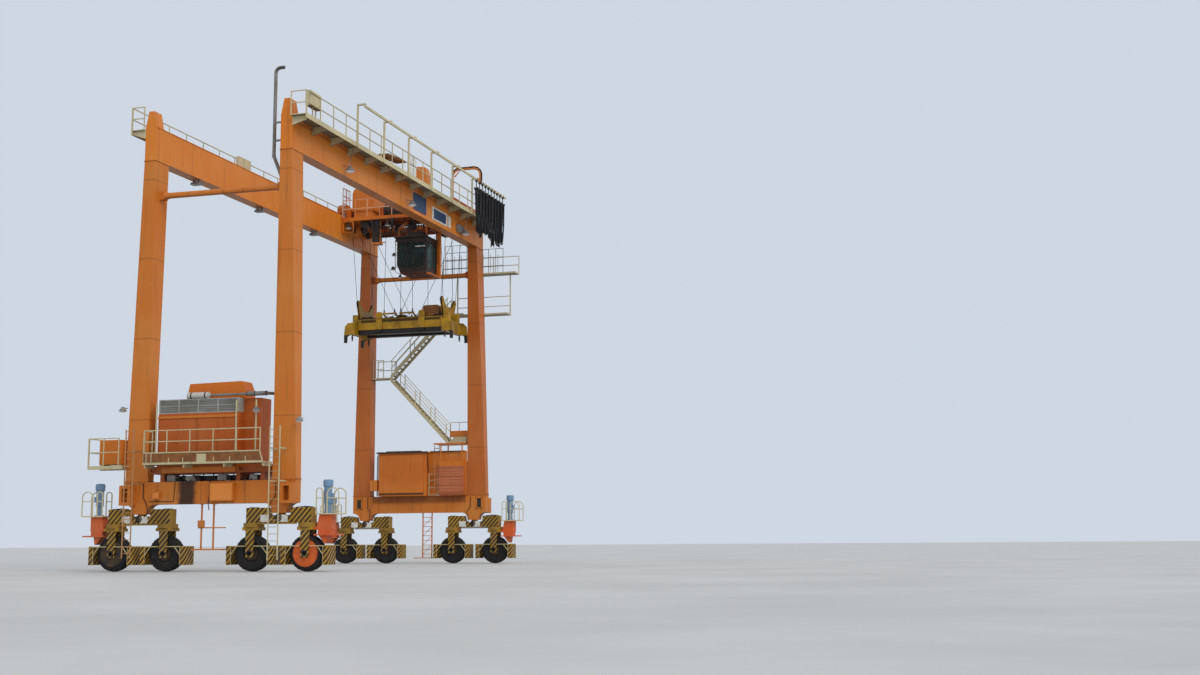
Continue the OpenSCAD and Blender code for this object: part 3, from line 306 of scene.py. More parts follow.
def sill_paint():
    """Orange, with the dark oil stain that runs down the sill below the engine, and a painted shadow of the
    houses along the top of the far sill.
    """
    paint = weathered("sill_paint", ORANGE, ORANGE_FADED, 1.3, ("x", 2.2, 0.4))
    x, y, z = paint.axes
    edge = abs(x + 1.12) + paint.noise(2.2, 3.0) * 0.35
    stain = (1 - paint.band(edge, 0.42, 0.78)) * (1 - paint.band(y, -HALF, -HALF + 1.0))
    paint.tint(stain * 0.92, (22, 18, 15))
    # Painted shadow of the overhanging houses on the upper band of the far sill.
    house_shadow = paint.band(z + paint.noise(1.5, 3.0) * 0.1, 3.5, 3.72) * (y > 0.0) * (abs(x) < 3.0)
    paint.tint(house_shadow * 0.6, (96, 44, 26))
    return paint


def cream_paint(name="cream_paint"):
    """Cream on rails and landings; floors show a dark worn grating."""
    paint = weathered(name, CREAM, CREAM_FADED, 1.2, None, False)
    x, y, _ = paint.axes
    floor = paint.band(abs(paint.facing[2]), 0.8, 0.95)
    bars = paint.math("MAXIMUM", paint.lines(x, 0.1, 0.02), paint.lines(y, 0.034, 0.012))
    paint.tint(floor * 0.45, (96, 84, 62))
    paint.tint(floor * bars * 0.5, GRIME_AND_SHADE)
    return paint


def hazard_paint(name, is_fork):
    """Yellow with black stripes, which lean the same way on X and Y faces."""
    paint = weathered(name, YELLOW, YELLOW_DIRTY, 1.4)
    x, y, z = paint.axes
    if is_fork:
        from_pin = abs(abs(abs(x) - BOGIE_X) - WHEEL_HALF)
        plate = (from_pin > 0.9) * (z < 1.085)
        where = paint.math("MAXIMUM", (from_pin < 0.215) * (z < 1.785), plate)
        bars = (from_pin > 0.215) * (z < 1.2) * (from_pin < 0.9)
        paint.tint(bars * 0.6, CREAM)
    else:
        where = paint.band(abs(paint.facing[1]), 0.6, 0.8) * (z > 2.112)
    pitch = 0.235
    lean = 0.9
    dark = abs(paint.share(x + y - z * lean, pitch, 100 * pitch) - 0.5)
    upright = 1 - paint.band(abs(paint.facing[2]), 0.3, 0.5)
    paint.tint(paint.band(dark, 0.235, 0.255) * where * upright * 0.93, BLACK_PAINT)
    paint.tint((z > 1.79) * (z < 2.11) * 0.25, GRIME_AND_SHADE)
    return paint


def drive_paint():
    """Orange gearbox, cream platform and hoops, light blue motor between the hoops."""
    paint = weathered("drive_paint", (222, 96, 34), (206, 92, 36), 1.1)
    x, y, z = paint.axes
    across = abs(x) - (BOGIE_X + WHEEL_HALF + MOTOR_OUT)
    aside = abs(y) - HALF
    paint.tint(z > 2.449, CREAM)
    paint.tint((z > 2.501) * (across * across + aside * aside < 0.27 ** 2), (116, 146, 176))
    return paint


def trolley_paint():
    """Deep orange, with painted shade in greasy patches under the deck, paler rails and a grey cage."""
    paint = weathered("trolley_paint", ORANGE_DEEP, ORANGE, 1.4, None, False)
    x, y, z = paint.axes
    # Painted shade under the deck, laid on in greasy patches.
    under = (1 - paint.band(z, 19.7, 20.1)) * (1 - paint.band(abs(x), 2.6, 3.05))
    paint.tint(under * paint.band(paint.noise(1.1, 5.0), 0.3, 0.62) * 0.8, (52, 30, 20))
    rails = (z > 20.17) * (y < 7.13)
    paint.tint(rails * 0.8, (214, 172, 136))
    paint.tint(rails * (x < -3.03) * 0.9, (176, 174, 168))
    return paint


def machinery_paint():
    """Orange frames below the drum and the gearbox, greasy grooved steel above them."""
    paint = weathered("machinery_paint", ORANGE_DEEP, (150, 66, 24), 1.5, None, False)
    x, _, z = paint.axes
    steel = (z > 20.415) * (abs(x) < 1.29)
    paint.tint(steel, (70, 64, 58))
    paint.tint(steel * paint.lines(x, 0.045, 0.02) * 0.6, (26, 24, 22))
    return paint


def platform_paint():
    """Cream walkway in front of the house, with an orange box on the platform beside it."""
    paint = cream_paint("platform_paint")
    x, y, z = paint.axes
    paint.tint((abs(x + 4.915) < 0.587) * (z > 4.789) * (y > -12.21), ORANGE)
    return paint


def cabinet_paint():
    """Bleached front of the far cabinet, below its orange canopy."""
    paint = weathered("cabinet_paint", (192, 112, 74), (180, 98, 58), 1.2, ("z", 0.52, 0.1))
    z = paint.axes[2]
    paint.tint(z > 5.72, ORANGE)
    paint.tint((1 - paint.band(z, 4.1, 4.32)) * 0.7, (150, 72, 34))
    return paint


def house_paint():
    """Deep orange walls with seams; the hood on the roof is brighter."""
    paint = weathered("house_paint", ORANGE_DEEP, ORANGE_DEEP_FADED, 1.5, ("x", 1.98, 0.67))
    z = paint.axes[2]
    paint.tint(z > 7.665, (208, 110, 26))
    paint.tint((1 - paint.band(z, 4.3, 4.75)) * 0.4, (110, 48, 24))
    return paint


def ladder_paint():
    """Cream rails, with worn rungs, and a browner ladder beside leg A."""
    paint = cream_paint("ladder_paint")
    x = paint.axes[0]
    paint.tint((abs(x - LADDER_B_X) < 0.205) * 0.55, (150, 104, 60))
    paint.tint((x < 0.0) * 0.75, (176, 108, 52))
    return paint


def yellow_paint(name, darks, machine=None):
    """Worn yellow with oily patches; darks are bands of Z painted black, machine a box painted brown."""
    paint = weathered(name, YELLOW, YELLOW_DIRTY, 1.3, None, False)
    paint.tint(paint.band(paint.noise(1.4, 5.0, None, 0.65), 0.42, 0.68) * 0.6, (88, 62, 18))
    x, _, z = paint.axes
    for low, high in darks:
        paint.tint((z > low) * (z < high), BLACK_GREASE_AND_SHADE)
    if machine is not None:
        low, high, floor = machine
        paint.tint((x > low) * (x < high) * (z > floor), (136, 82, 32))
        paint.tint((abs(abs(x) - SHEAVE_X) < 0.045) * (z > 15.0), BLACK_GREASE_AND_SHADE)
    paint.coat = 0.1
    return paint


def plain_metal(name, base, second, roughness=0.5, metallic=0.0, scale=3.0, wear=0.6):
    paint = Paint(name, base)
    patches = paint.noise(scale, 5.0, None, 0.6)
    paint.tint(paint.band(patches, 0.35, 0.68), second)
    paint.tint(paint.band(paint.noise(22.0, 4.0, None, 0.7), 0.62, 0.74) * wear, RUST)
    paint.roughness = patches * 0.2 + (roughness - 0.1)
    paint.bump(paint.noise(40.0, 3.0), 0.2, 0.004)
    paint.metallic = metallic
    return paint


def pipe_paint():
    """Grey exhaust pipe; its silencers on the roof are pale aluminium."""
    paint = Paint("pipe_paint", (134, 133, 130))
    patches = paint.noise(2.5, 5.0, None, 0.6)
    x, _, z = paint.axes
    paint.tint(paint.band(patches, 0.35, 0.68), (112, 106, 98))
    paint.tint((x < -0.2) * (z < 8.2), (196, 192, 184))
    paint.tint(paint.band(z + patches * 0.4, 22.6, 23.1) * 0.7, (54, 50, 46))
    paint.bump(paint.noise(40.0, 3.0), 0.2, 0.004)
    paint.metallic = 0.1
    return paint


def tyre_rubber():
    """Black rubber, browner with dust towards the tread."""
    paint = Paint("tyre_rubber", (21, 20, 20))
    dust = paint.band(paint.noise(4.0, 5.0, None, 0.65), 0.42, 0.75)
    paint.tint(dust * 0.5, (66, 60, 54))
    paint.roughness = dust * 0.2 + 0.68
    paint.bump(paint.noise(90.0, 3.0), 0.25, 0.003)
    return paint


def glass():
    paint = Paint("cab_glass", (84, 112, 112))
    inputs = paint.tree.nodes["Principled BSDF"].inputs
    inputs["Transmission Weight"].default_value = 0.85
    inputs["IOR"].default_value = 1.2
    paint.roughness = paint.noise(3.0) * 0.12 + 0.02
    return paint


def louvre_grey():
    """Grey band round the radiator: fine louvres between its panel frames."""
    paint = Paint("louvre_grey", (190, 190, 184))
    paint.tint(paint.band(paint.noise(1.2), 0.35, 0.65), (168, 166, 158))
    slats = paint.lines(paint.axes[2], 0.08, 0.035)
    paint.tint(slats * 0.35, (96, 94, 90))
    paint.roughness = 0.55
    paint.bump(slats, 0.8, 0.02)
    return paint


PAINTS = {
    "orange": orange_paint(),
    "leg": orange_paint("leg_paint", ("z", 3.7, 0.6)),
    # Far legs C and D: a darker copy of the leg paint, as painted shade, with more wear.
    "shaded_far_leg": orange_paint("far_leg_paint", ("z", 3.7, 0.6), 1.2, (186, 98, 32), (190, 108, 44)),
    "girder": orange_paint("girder_paint", ("y", 2.95, 0.2), 1.0, (218, 122, 26), (220, 134, 48)),
    "far_house": orange_paint("far_house_paint", None, 1.0, (196, 104, 26), (206, 116, 34)),
    "box": orange_paint("box_paint", None, 0.8, (230, 138, 52), (222, 132, 60)),
    "house": house_paint(),
    "ladder": ladder_paint(),
    "trolley": trolley_paint(),
    "machinery": machinery_paint(),
    "platform": platform_paint(),
    "cabinet": cabinet_paint(),
    "sill": sill_paint(),
    "cream": cream_paint(),
    "bogie": hazard_paint("bogie_stripes", False),
    "fork": hazard_paint("fork_stripes", True),
    "drive": drive_paint(),
    "yellow": yellow_paint("yellow_paint", []),
    # Sleeve: a black tray along the bottom, also standing for painted shade under the sleeve, and a black strip
    # along its top.
    "sleeve": yellow_paint("sleeve_paint", [(13.3, 13.669), (14.311, SLEEVE_TOP)]),
    "towers": yellow_paint("tower_paint", [(14.339, 14.37)], (1.31, 2.34, 14.43)),
    "extension": yellow_paint("extension_paint", [(12.0, 13.36)]),
    "tyre": tyre_rubber(),
    "louvre": louvre_grey(),
    "glass": glass(),
    "exhaust": pipe_paint(),
    "grey": plain_metal("grey_metal", (142, 140, 136), (112, 106, 100), 0.5, 0.2),
    "dark": plain_metal("greasy_steel", (38, 36, 34), (58, 50, 42), 0.5, 0.3),
    "rim": plain_metal("rim_steel", (52, 44, 36), (84, 62, 40), 0.6, 0.2),
    "sprocket": plain_metal("sprocket_paint", (222, 104, 44), (196, 88, 38), 0.5, 0.0, 2.0, 0.3),
    "rope": plain_metal("rope_steel", (46, 44, 42), (66, 62, 58), 0.45, 0.6),
    "cable": plain_metal("cable_rubber", (16, 17, 20), (30, 31, 36), 0.5, 0.0, 6.0, 0.0),
    "cabin": plain_metal("cabin_frames", (26, 23, 22), (52, 34, 26), 0.45, 0.0, 2.0, 0.3),
    "maroon": plain_metal("cab_underside", (96, 44, 28), (66, 34, 24), 0.6, 0.0, 2.0, 0.3),
    "white": plain_metal("sign_white", (226, 224, 216), (196, 192, 182), 0.5, 0.0, 5.0, 0.15),
    "navy": plain_metal("sign_blue", (34, 58, 92), (44, 70, 104), 0.45, 0.0, 4.0, 0.1),
    "mesh": plain_metal("mesh_brown", (142, 90, 46), (116, 74, 40), 0.7, 0.0, 3.0, 0.4),
    # Dark rails of the far landing cage: painted shade for cream rails seen against the light, with rust
    # specks.
    "rail_dark": plain_metal("shaded_rails", (98, 94, 86), (120, 112, 94), 0.6, 0.1, 3.0, 0.4),
    "rail_orange": plain_metal("rail_orange", (206, 148, 104), (196, 124, 76), 0.5, 0.0, 2.0, 0.5),
    "pale": plain_metal("pale_rails", (192, 190, 184), (168, 160, 150), 0.5, 0.1, 3.0, 0.3),
    "lamp": plain_metal("lamp_white", (226, 228, 230), (196, 200, 204), 0.25, 0.0, 8.0, 0.0),
    "seat": plain_metal("seat_fabric", (150, 128, 96), (124, 104, 78), 0.85, 0.0, 8.0, 0.0),
}
MAT = {key: paint.finish() for key, paint in PAINTS.items()}

# The finish of the CAD nodes, by how their names start; all others are orange
NODE_PAINTS = {
    "leg_c": "shaded_far_leg", "leg_d": "shaded_far_leg", "leg_": "leg", "girder_": "girder", "sill_": "sill",
    "walkway_": "cream", "bogie_": "bogie", "fork_": "fork", "drive_": "drive", "wheel_": "tyre",
    "spreader_": "sleeve", "sheave_": "towers", "extension_": "extension", "festoon_track": "cream",
    "festoon_cables": "cable", "engine_house": "house", "radiator_": "louvre", "exhaust_": "exhaust",
    "engine_walkway": "platform", "access_": "ladder", "far_stair": "cream", "electric_": "far_house",
    "control_": "cabinet", "floodlights": "grey", "trolley_frame": "trolley", "trolley_wheels": "dark",
    "hoist_machinery": "machinery", "operator_cab": "cabin", "cab_glass": "glass", "hoist_ropes": "rope"}
for name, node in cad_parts.items():
    keys = [key for start, key in NODE_PAINTS.items() if name.startswith(start)] + ["orange"]
    if not node.material_slots:
        node.data.materials.append(None)
    for slot in node.material_slots:
        slot.material = MAT[keys[0]]


def circle(count, shift=0.0):
    """Cosine and sine at even steps round a circle."""
    angles = [math.tau * (k + shift) / count for k in range(count)]
    return [(math.cos(angle), math.sin(angle)) for angle in angles]


def along(axis, a, b, distance):
    """A point at a distance along an axis, with a and b across it."""
    return {"x": (distance, a, b), "y": (b, distance, a), "z": (a, b, distance)}[axis]


def row(start, step, count):
    return [start + step * k for k in range(count)]


class Shape:
    """A mesh gathered from simple forms, which the signs mirror to a corner."""

    def __init__(self, sx=1, sy=1):
        self.mirror(sx, sy)
        self.points = []
        self.faces = []

    def mirror(self, sx, sy):
        """What is added from here on lies in the corner with these signs."""
        self.sx = sx
        self.sy = sy

    def add(self, points, faces):
        base = len(self.points)
        turn = -1 if self.sx * self.sy < 0 else 1
        self.points += [(self.sx * p[0], self.sy * p[1], p[2]) for p in points]
        self.faces += [[base + i for i in face[::turn]] for face in faces]

    def loft(self, rings):
        """Joins rings of points and caps both ends."""
        count = len(rings[0])
        last = (len(rings) - 1) * count
        faces = []
        for start in range(0, last, count):
            for i in range(count):
                j = (i + 1) % count
                faces.append([start + i, start + j, start + count + j, start + count + i])
        faces += [list(range(count))[::-1], list(range(last, last + count))]
        self.add([p for ring in rings for p in ring], faces)

    def box(self, one, other):
        """A box between two opposite corners."""
        (x0, x1), (y0, y1), (z0, z1) = [sorted(pair) for pair in zip(one, other)]
        self.loft([[(x0, y0, z), (x1, y0, z), (x1, y1, z), (x0, y1, z)] for z in (z0, z1)])

    def post(self, x, y, half, low, high):
        """A square upright about x and y."""
        self.box((x - half, y - half, low), (x + half, y + half, high))

    def prism(self, outline, axis, start, stop):
        """Extrudes an outline along an axis: outline in X,Z for y, in Y,Z for x, in X,Y for z."""
        def point(a, b, t):
            return {"x": (t, a, b), "y": (a, t, b), "z": (a, b, t)}[axis]
        area = sum(a[0] * b[1] - b[0] * a[1] for a, b in zip(outline, outline[1:] + outline[:1]))
        ends = sorted((start, stop), reverse=(area > 0) == (axis == "y"))
        self.loft([[point(a, b, t) for a, b in outline] for t in ends])

    def tube(self, path, radius, sides=8):
        """A round tube along a path of points."""
        path = [Vector(p) for p in path]
        rings = []
        side = None
        for k, here in enumerate(path):
            ahead = (path[min(k + 1, len(path) - 1)] - path[max(k - 1, 0)]).normalized()
            if side is None:
                side = ahead.orthogonal().normalized()
            side = (side - ahead * side.dot(ahead)).normalized()
            other = ahead.cross(side)
            rings.append([here + radius * (a * side + b * other) for a, b in circle(sides)])
        self.loft(rings)

    def rod(self, start, stop, radius, sides=8):
        self.tube([start, stop], radius, sides)

    def lathe(self, profile, centre, axis, sides=48):
        """Turns a profile of (distance along the axis, radius) about an axis through centre."""
        rings = []
        for distance, radius in profile:
            ring = [along(axis, radius * a, radius * b, distance) for a, b in circle(sides)]
            rings.append([[c + step for c, step in zip(centre, point)] for point in ring])
        if profile[0][0] > profile[-1][0]:
            rings.reverse()
        self.loft(rings)

    def washer(self, centre, axis, thick, outer, inner, sides):
        self.lathe([(0.0, outer), (thick, outer), (thick, inner), (0.0, inner)], centre, axis, sides)

    def bolts(self, centre, axis, reach, count, radius, height, shift=0.0):
        """A ring of hexagonal bolt heads on a face; their height is negative where they point back."""
        for a, b in circle(count, shift):
            foot = Vector(centre) + Vector(along(axis, reach * a, reach * b, 0))
            self.rod(foot, foot + Vector(along(axis, 0, 0, height)), radius, 6)

    def make(self, name, body, material, smooth=True, stands_for=(), bevel=0.0, ride=True):
        mesh = bpy.data.meshes.new(name)
        mesh.from_pydata([tuple(p) for p in self.points], [], self.faces)
        mesh.materials.append(MAT[material])
        piece = bpy.data.objects.new(name, mesh)
        bpy.context.scene.collection.objects.link(piece)
        if smooth:
            mesh.shade_smooth()
            mesh.set_sharp_from_angle(angle=math.radians(35))
        if bevel:
            edge = piece.modifiers.new("edge", "BEVEL")
            edge.width = bevel
            edge.segments = 2
            edge.limit_method = "ANGLE"
        if ride:
            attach(piece, body)
        if stands_for:
            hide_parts(*stands_for)
        return piece


def lamps(name, body, shells, shell_paint, glasses, places, shade, glass, sides):
    """Turned shades with a glass below each; the profiles are measured from each place."""
    for place in places:
        shells.lathe(shade, place, "z", sides)
        glasses.lathe(glass, place, "z", sides)
    shells.make(f"{name}_lamp_shells", body, shell_paint)
    glasses.make(f"{name}_lamp_glasses", body, "lamp")


def floor_and_light():
    size = 700.0
    corners = [(-size, -size, 0), (size, -size, 0), (size, size, 0), (-size, size, 0)]
    mesh = bpy.data.meshes.new("floor")
    mesh.from_pydata(corners, [], [(0, 1, 2, 3)])
    paint = Paint("floor_pale", (196, 196, 194))
    paint.tint(paint.band(paint.noise(0.15), 0.3, 0.7), (206, 206, 204))
    paint.roughness = 0.9
    mesh.materials.append(paint.finish())
    floor = bpy.data.objects.new("floor", mesh)
    bpy.context.scene.collection.objects.link(floor)
    world = bpy.data.worlds.new("sky")
    bpy.context.scene.world = world
    world.use_nodes = True
    tree = world.node_tree
    light = tree.nodes["Background"]
    light.inputs["Color"].default_value = screen((236, 242, 250))
    light.inputs["Strength"].default_value = 0.72
    seen = tree.nodes.new("ShaderNodeBackground")
    seen.inputs["Color"].default_value = screen((206, 215, 226))
    path = tree.nodes.new("ShaderNodeLightPath")
    mixer = tree.nodes.new("ShaderNodeMixShader")
    either = tree.nodes.new("ShaderNodeMath")
    either.operation = "MAXIMUM"
    tree.links.new(path.outputs["Is Camera Ray"], either.inputs[0])
    tree.links.new(path.outputs["Is Transmission Ray"], either.inputs[1])
    for slot, socket in enumerate((either.outputs[0], light.outputs[0], seen.outputs[0])):
        tree.links.new(socket, mixer.inputs[slot])
    tree.links.new(mixer.outputs[0], tree.nodes["World Output"].inputs["Surface"])
    sun = bpy.data.lights.new("sun", "SUN")
    sun.energy = 1.3
    sun.angle = math.radians(45)
    sun.color = (1.0, 0.97, 0.93)
    lamp = bpy.data.objects.new("sun", sun)
    lamp.rotation_euler = Vector((0.72, -0.52, 0.72)).to_track_quat("Z", "Y").to_euler()
    bpy.context.scene.collection.objects.link(lamp)


def wheel_parts(corner, place):
    """Tyre with its lugs, rim with its nuts, and the chain wheel of an outer wheel."""
    sx, sy = CORNERS[corner]
    x = BOGIE_X + PLACES[place] * WHEEL_HALF
    centre = (x, -HALF, TYRE_R)
    body = f"wheel_{corner}_{place}"
    tyre = Shape(sx, -sy)
    # Half of the section, from the bead over the sidewall to the middle of the tread
    half = [(0.19, 0.33), (0.215, 0.345), (0.235, 0.42), (0.25, 0.52), (0.248, 0.62), (0.24, 0.70),
            (0.222, 0.748), (0.19, 0.772), (0.10, 0.778), (0.0, 0.78)]
    mirrored = [(-distance, radius) for distance, radius in half[-2::-1]]
    tyre.lathe(half + mirrored + [(-0.19, 0.30), (0.19, 0.30)], centre, "y", 72)
    lugs = 30
    thick = 0.085
    # The corners of a lug's leading side: distance from the middle, radius and turn
    lug = [(0.01, 0.772, 0.00), (0.225, 0.745, 0.07), (0.246, 0.66, 0.075),
           (0.249, 0.66, 0.115), (0.238, 0.765, 0.11), (0.01, 0.798, 0.04)]
    faces = [[0, 1, 4, 5], [1, 2, 3, 4], [6, 11, 10, 7], [7, 10, 9, 8]]
    faces += [[k, k + 6, (k + 1) % 6 + 6, (k + 1) % 6] for k in range(6)]
    for i in range(lugs):
        for side in SIDES:
            points = []
            for end in (0.0, thick):
                for distance, radius, turn in lug:
                    t = math.tau * (i + 0.25 * side) / lugs + side * turn + end
                    y = -HALF + side * distance
                    points.append((x + radius * math.sin(t), y, TYRE_R + radius * math.cos(t)))
            tyre.add(points, [face[::side] for face in faces])
    tyre.make(f"{body}_tyre", body, "tyre", stands_for=[body])
    rim = Shape(sx, -sy)
    half = [(0.24, 0.09), (0.24, 0.12), (0.10, 0.14), (0.12, 0.30), (0.20, 0.315), (0.20, 0.345)]
    rim.lathe([(-distance, radius) for distance, radius in half[::-1]] + half, centre, "y")
    for side in SIDES:
        rim.bolts((x, -HALF + side * 0.108, TYRE_R), "y", 0.21, 12, 0.02, side * 0.04)
        rim.rod((x, -HALF + side * 0.23, TYRE_R), (x, -HALF + side * AXLE_HALF, TYRE_R), 0.07, 24)
        rim.bolts((x, -HALF + side * AXLE_HALF, TYRE_R), "y", 0.042, 6, 0.009, side * 0.01)
    rim.make(f"{body}_rim", body, "rim")
    if place == "inner":
        return
    teeth = 60
    outline = []
    for i in range(teeth):
        for share, radius in ((0.0, 0.57), (0.3, 0.598), (0.5, 0.598), (0.8, 0.57)):
            angle = math.tau * (i + share) / teeth
            outline.append((x + radius * math.cos(angle), TYRE_R + radius * math.sin(angle)))
    disc = Shape(sx, -sy)
    disc.prism(outline, "y", -HALF - 0.274, -HALF - 0.25)
    disc.lathe([(-0.278, 0.25), (-0.278, 0.44), (-0.27, 0.5), (-0.2, 0.5), (-0.2, 0.25)], centre, "y")
    disc.bolts((x, -HALF - 0.276, TYRE_R), "y", 0.34, 16, 0.016, -0.02)
    disc.make(f"{body}_sprocket", body, "rim" if body == "wheel_a_outer" else "sprocket")


def bogie_parts(corner):
    """Bare plates, pin plates and hoses on a bogie beam."""
    sx, sy = CORNERS[corner]
    body = f"bogie_{corner}"
    plates = Shape()
    pins = Shape(sx, -sy)
    for side in SIDES:
        face = sy * HALF + side * BOGIE_HALF_W
        for offset in (-0.66, 0.24):
            x = sx * BOGIE_X + offset
            plates.box((x - 0.21, face, 2.14), (x + 0.21, face + side * 0.012, 2.46))
        y = -HALF + side * BOGIE_HALF_W
        pins.washer((BOGIE_X, y, PIVOT_Z), "y", side * 0.016, 0.165, 0.105, 32)
        pins.bolts((BOGIE_X, y + side * 0.016, PIVOT_Z), "y", 0.135, 10, 0.012, side * 0.014)
    plates.make(f"{body}_plates", body, "white", bevel=0.008)
    for place in PLACES.values():
        top = (BOGIE_X + place * WHEEL_HALF, -HALF, BOGIE_TOP)
        pins.bolts(top, "z", 0.16, 12, 0.018, 0.03)
        pins.washer(top, "z", 0.015, 0.2, 0.02, 32)
    pins.make(f"{body}_pin_plates", body, "dark")
    hoses = Shape(sx, -sy)
    for k in range(3):
        y = -HALF + 0.05 * (k - 1)
        route = ((0.62, 2.44), (0.75, 2.79), (1.1, 2.80 + 0.01 * k), (1.5, 2.79))
        hoses.tube([(BOGIE_X + x, y, z) for x, z in route], 0.014)
    hoses.make(f"{body}_hoses", body, "cable")


def fork_parts(corner, place):
    """Bolts and ribs under the turning ring, and the caps of the axle."""
    sx, sy = CORNERS[corner]
    x = BOGIE_X + PLACES[place] * WHEEL_HALF
    body = f"fork_{corner}_{place}"
    ribs = Shape(sx, -sy)
    caps = Shape(sx, -sy)
    ribs.bolts((x, -HALF, 1.905), "z", 0.415, 12, 0.02, 0.025, 0.5)
    for side in SIDES:
        y = -HALF + side * AXLE_HALF
        for reach in (x - 0.3, x + 0.3):
            ribs.box((reach - 0.07, y, 1.80), (reach + 0.07, y + side * 0.012, 1.92))
        caps.washer((x, y, TYRE_R), "y", side * 0.014, 0.13, 0.074, 28)
        caps.bolts((x, y + side * 0.014, TYRE_R), "y", 0.105, 8, 0.011, side * 0.014)
    ribs.make(f"{body}_ribs", body, "yellow", bevel=0.004)
    caps.make(f"{body}_axle_caps", body, "dark")


def sill_parts():
    """Pin ends, junction boxes, pipe runs, jacking pockets and lamps on the two sills."""
    pins = Shape()
    pockets = Shape()
    holes = Shape()
    y = HALF - SILL_HALF_W
    for sx, sy in CORNERS.values():
        for side in SIDES:
            end = (sx * BOGIE_X, sy * HALF + side * (BOGIE_HALF_W + 0.03), PIVOT_Z)
            cap = [(0.0, 0.088), (side * 0.012, 0.08), (side * 0.012, 0.03), (side * 0.004, 0.03)]
            pins.lathe(cap, end, "y", 28)
        pockets.mirror(sx, sy)
        for x0, x1, z0, z1 in ((3.66, 3.72, 3.2, 3.86), (3.98, 4.04, 3.2, 3.86), (3.66, 4.04, 3.2, 3.26),
                               (3.66, 4.04, 3.8, 3.86)):
            pockets.box((x0, y - 0.05, z0), (x1, y, z1))
        holes.mirror(sx, sy)
        holes.box((3.72, y - 0.012, 3.26), (3.98, y, 3.8))
    pins.make("pivot_pin_ends", "portal", "dark")
    runs = Shape()
    near = -HALF - SILL_HALF_W
    runs.tube([(x, near - 0.02, z) for x, z in ((-3.0, 3.1), (-1.75, 3.1), (-1.7, 3.97))], 0.014)
    bend = [(3.3, 0.03, 3.9), (3.3, 0.03, 3.3), (3.1, 0.075, 3.02), (3.0, 0.075, 2.6), (3.2, 0.075, 2.42)]
    for side in SIDES:
        runs.tube([(side * x, near - out, z) for x, out, z in bend], 0.018)
        runs.tube([(side * x, y - out, z) for x, out, z in bend[:3] + bend[4:]], 0.018)
    runs.make("sill_pipe_runs", "portal", "cable")
    doors = Shape()
    for x0, x1, z0, z1, face in ((0.17, 1.31, 3.08, 3.89, near - 0.23),
                                 (-2.76, -2.42, 3.20, 3.54, near - 0.15)):
        doors.box((x0 + 0.04, face - 0.012, z0 + 0.04), (x1 - 0.04, face, z1 - 0.04))
        doors.box((x0 + 0.08, face - 0.03, z0 + 0.3), (x0 + 0.11, face - 0.01, z0 + 0.42))
    doors.make("sill_box_doors", "portal", "box", bevel=0.006)
    pockets.make("jacking_pocket_frames", "portal", "orange", bevel=0.006)
    holes.make("jacking_pocket_backs", "portal", "dark")
    shells = Shape()
    places = [(x, -HALF - 0.43, z) for x, z in ((2.35, 7.1), (4.46, 6.6), (-4.4, 7.3))]
    for x, y, z in places:
        shells.rod((x, y + 0.38, z + 0.05), (x, y + 0.03, z + 0.05), 0.018)
    lamps("leg", "portal", shells, "grey", Shape(), places, [(0.1, 0.05), (0.04, 0.09), (-0.1, 0.19)],
          [(-0.104, 0.175), (-0.15, 0.1), (-0.16, 0.02)], 20)


def flange_bolts():
    """Bolt rows round the flanges at the foot and the head of each leg."""
    bolts = Shape()
    for sx, sy in CORNERS.values():
        bolts.mirror(sx, -sy)
        for z, height, x0, x1, y0, y1 in ((SILL_TOP, 0.025, 3.08, 4.29, -11.985, -11.485),
                                          (18.785, -0.025, 3.17, 3.796, -12.16, -11.005)):
            across = row(x0 + 0.03, (x1 - x0 - 0.06) / 8, 9)
            aside = row(y0 + 0.03, (y1 - y0 - 0.06) / 6, 7)
            heads = [(x, y) for x in across for y in (y0 + 0.012, y1 - 0.012)]
            heads += [(x, y) for y in aside for x in (x0 + 0.012, x1 - 0.012)]
            for x, y in heads:
                bolts.rod((x, y, z), (x, y, z + height), 0.011, 6)
    bolts.make("flange_bolts", "portal", "dark", smooth=False)


def house_doors():
    """Doors on the front of the engine house and in the recess beside it, with handles and hinges."""
    doors = Shape()
    for k in range(4):
        left = HOUSE_X0 + k + (0.05 if k % 2 == 0 else 0.02)
        face = HOUSE_FRONT - 0.012
        doors.box((left, face, 4.70), (left + 0.93, HOUSE_FRONT, 6.78))
        doors.box((left + 0.80, face - 0.038, 5.7), (left + 0.84, face, 5.9))
        hinge = (left + 0.02, face - 0.013)
        for z in (5.0, 5.75, 6.5):
            doors.rod((*hinge, z - 0.05), (*hinge, z + 0.05), 0.016)
    back = HOUSE_FRONT + 0.5
    doors.box((1.42, back - 0.015, 4.75), (2.12, back, 6.9))
    doors.box((2.0, back - 0.05, 5.7), (2.04, back - 0.015, 5.9))
    hinge = (1.44, back - 0.025)
    for z in (4.9, 5.75, 6.6):
        doors.rod((*hinge, z - 0.06), (*hinge, z + 0.06), 0.018)
    doors.box((1.45, back - 0.012, 7.1), (2.1, back, 7.5))
    doors.make("engine_house_doors", "portal", "house", bevel=0.006)
    trim = Shape()
    trim.box((HOUSE_X0 - 0.02, HOUSE_FRONT - 0.045, 6.80), (1.37, HOUSE_FRONT - 0.022, 6.91))
    trim.box((-2.4, HOUSE_FRONT - 0.03, 4.36), (1.3, HOUSE_FRONT - 0.002, 4.62))
    trim.make("engine_house_trims", "portal", "orange", bevel=0.006)


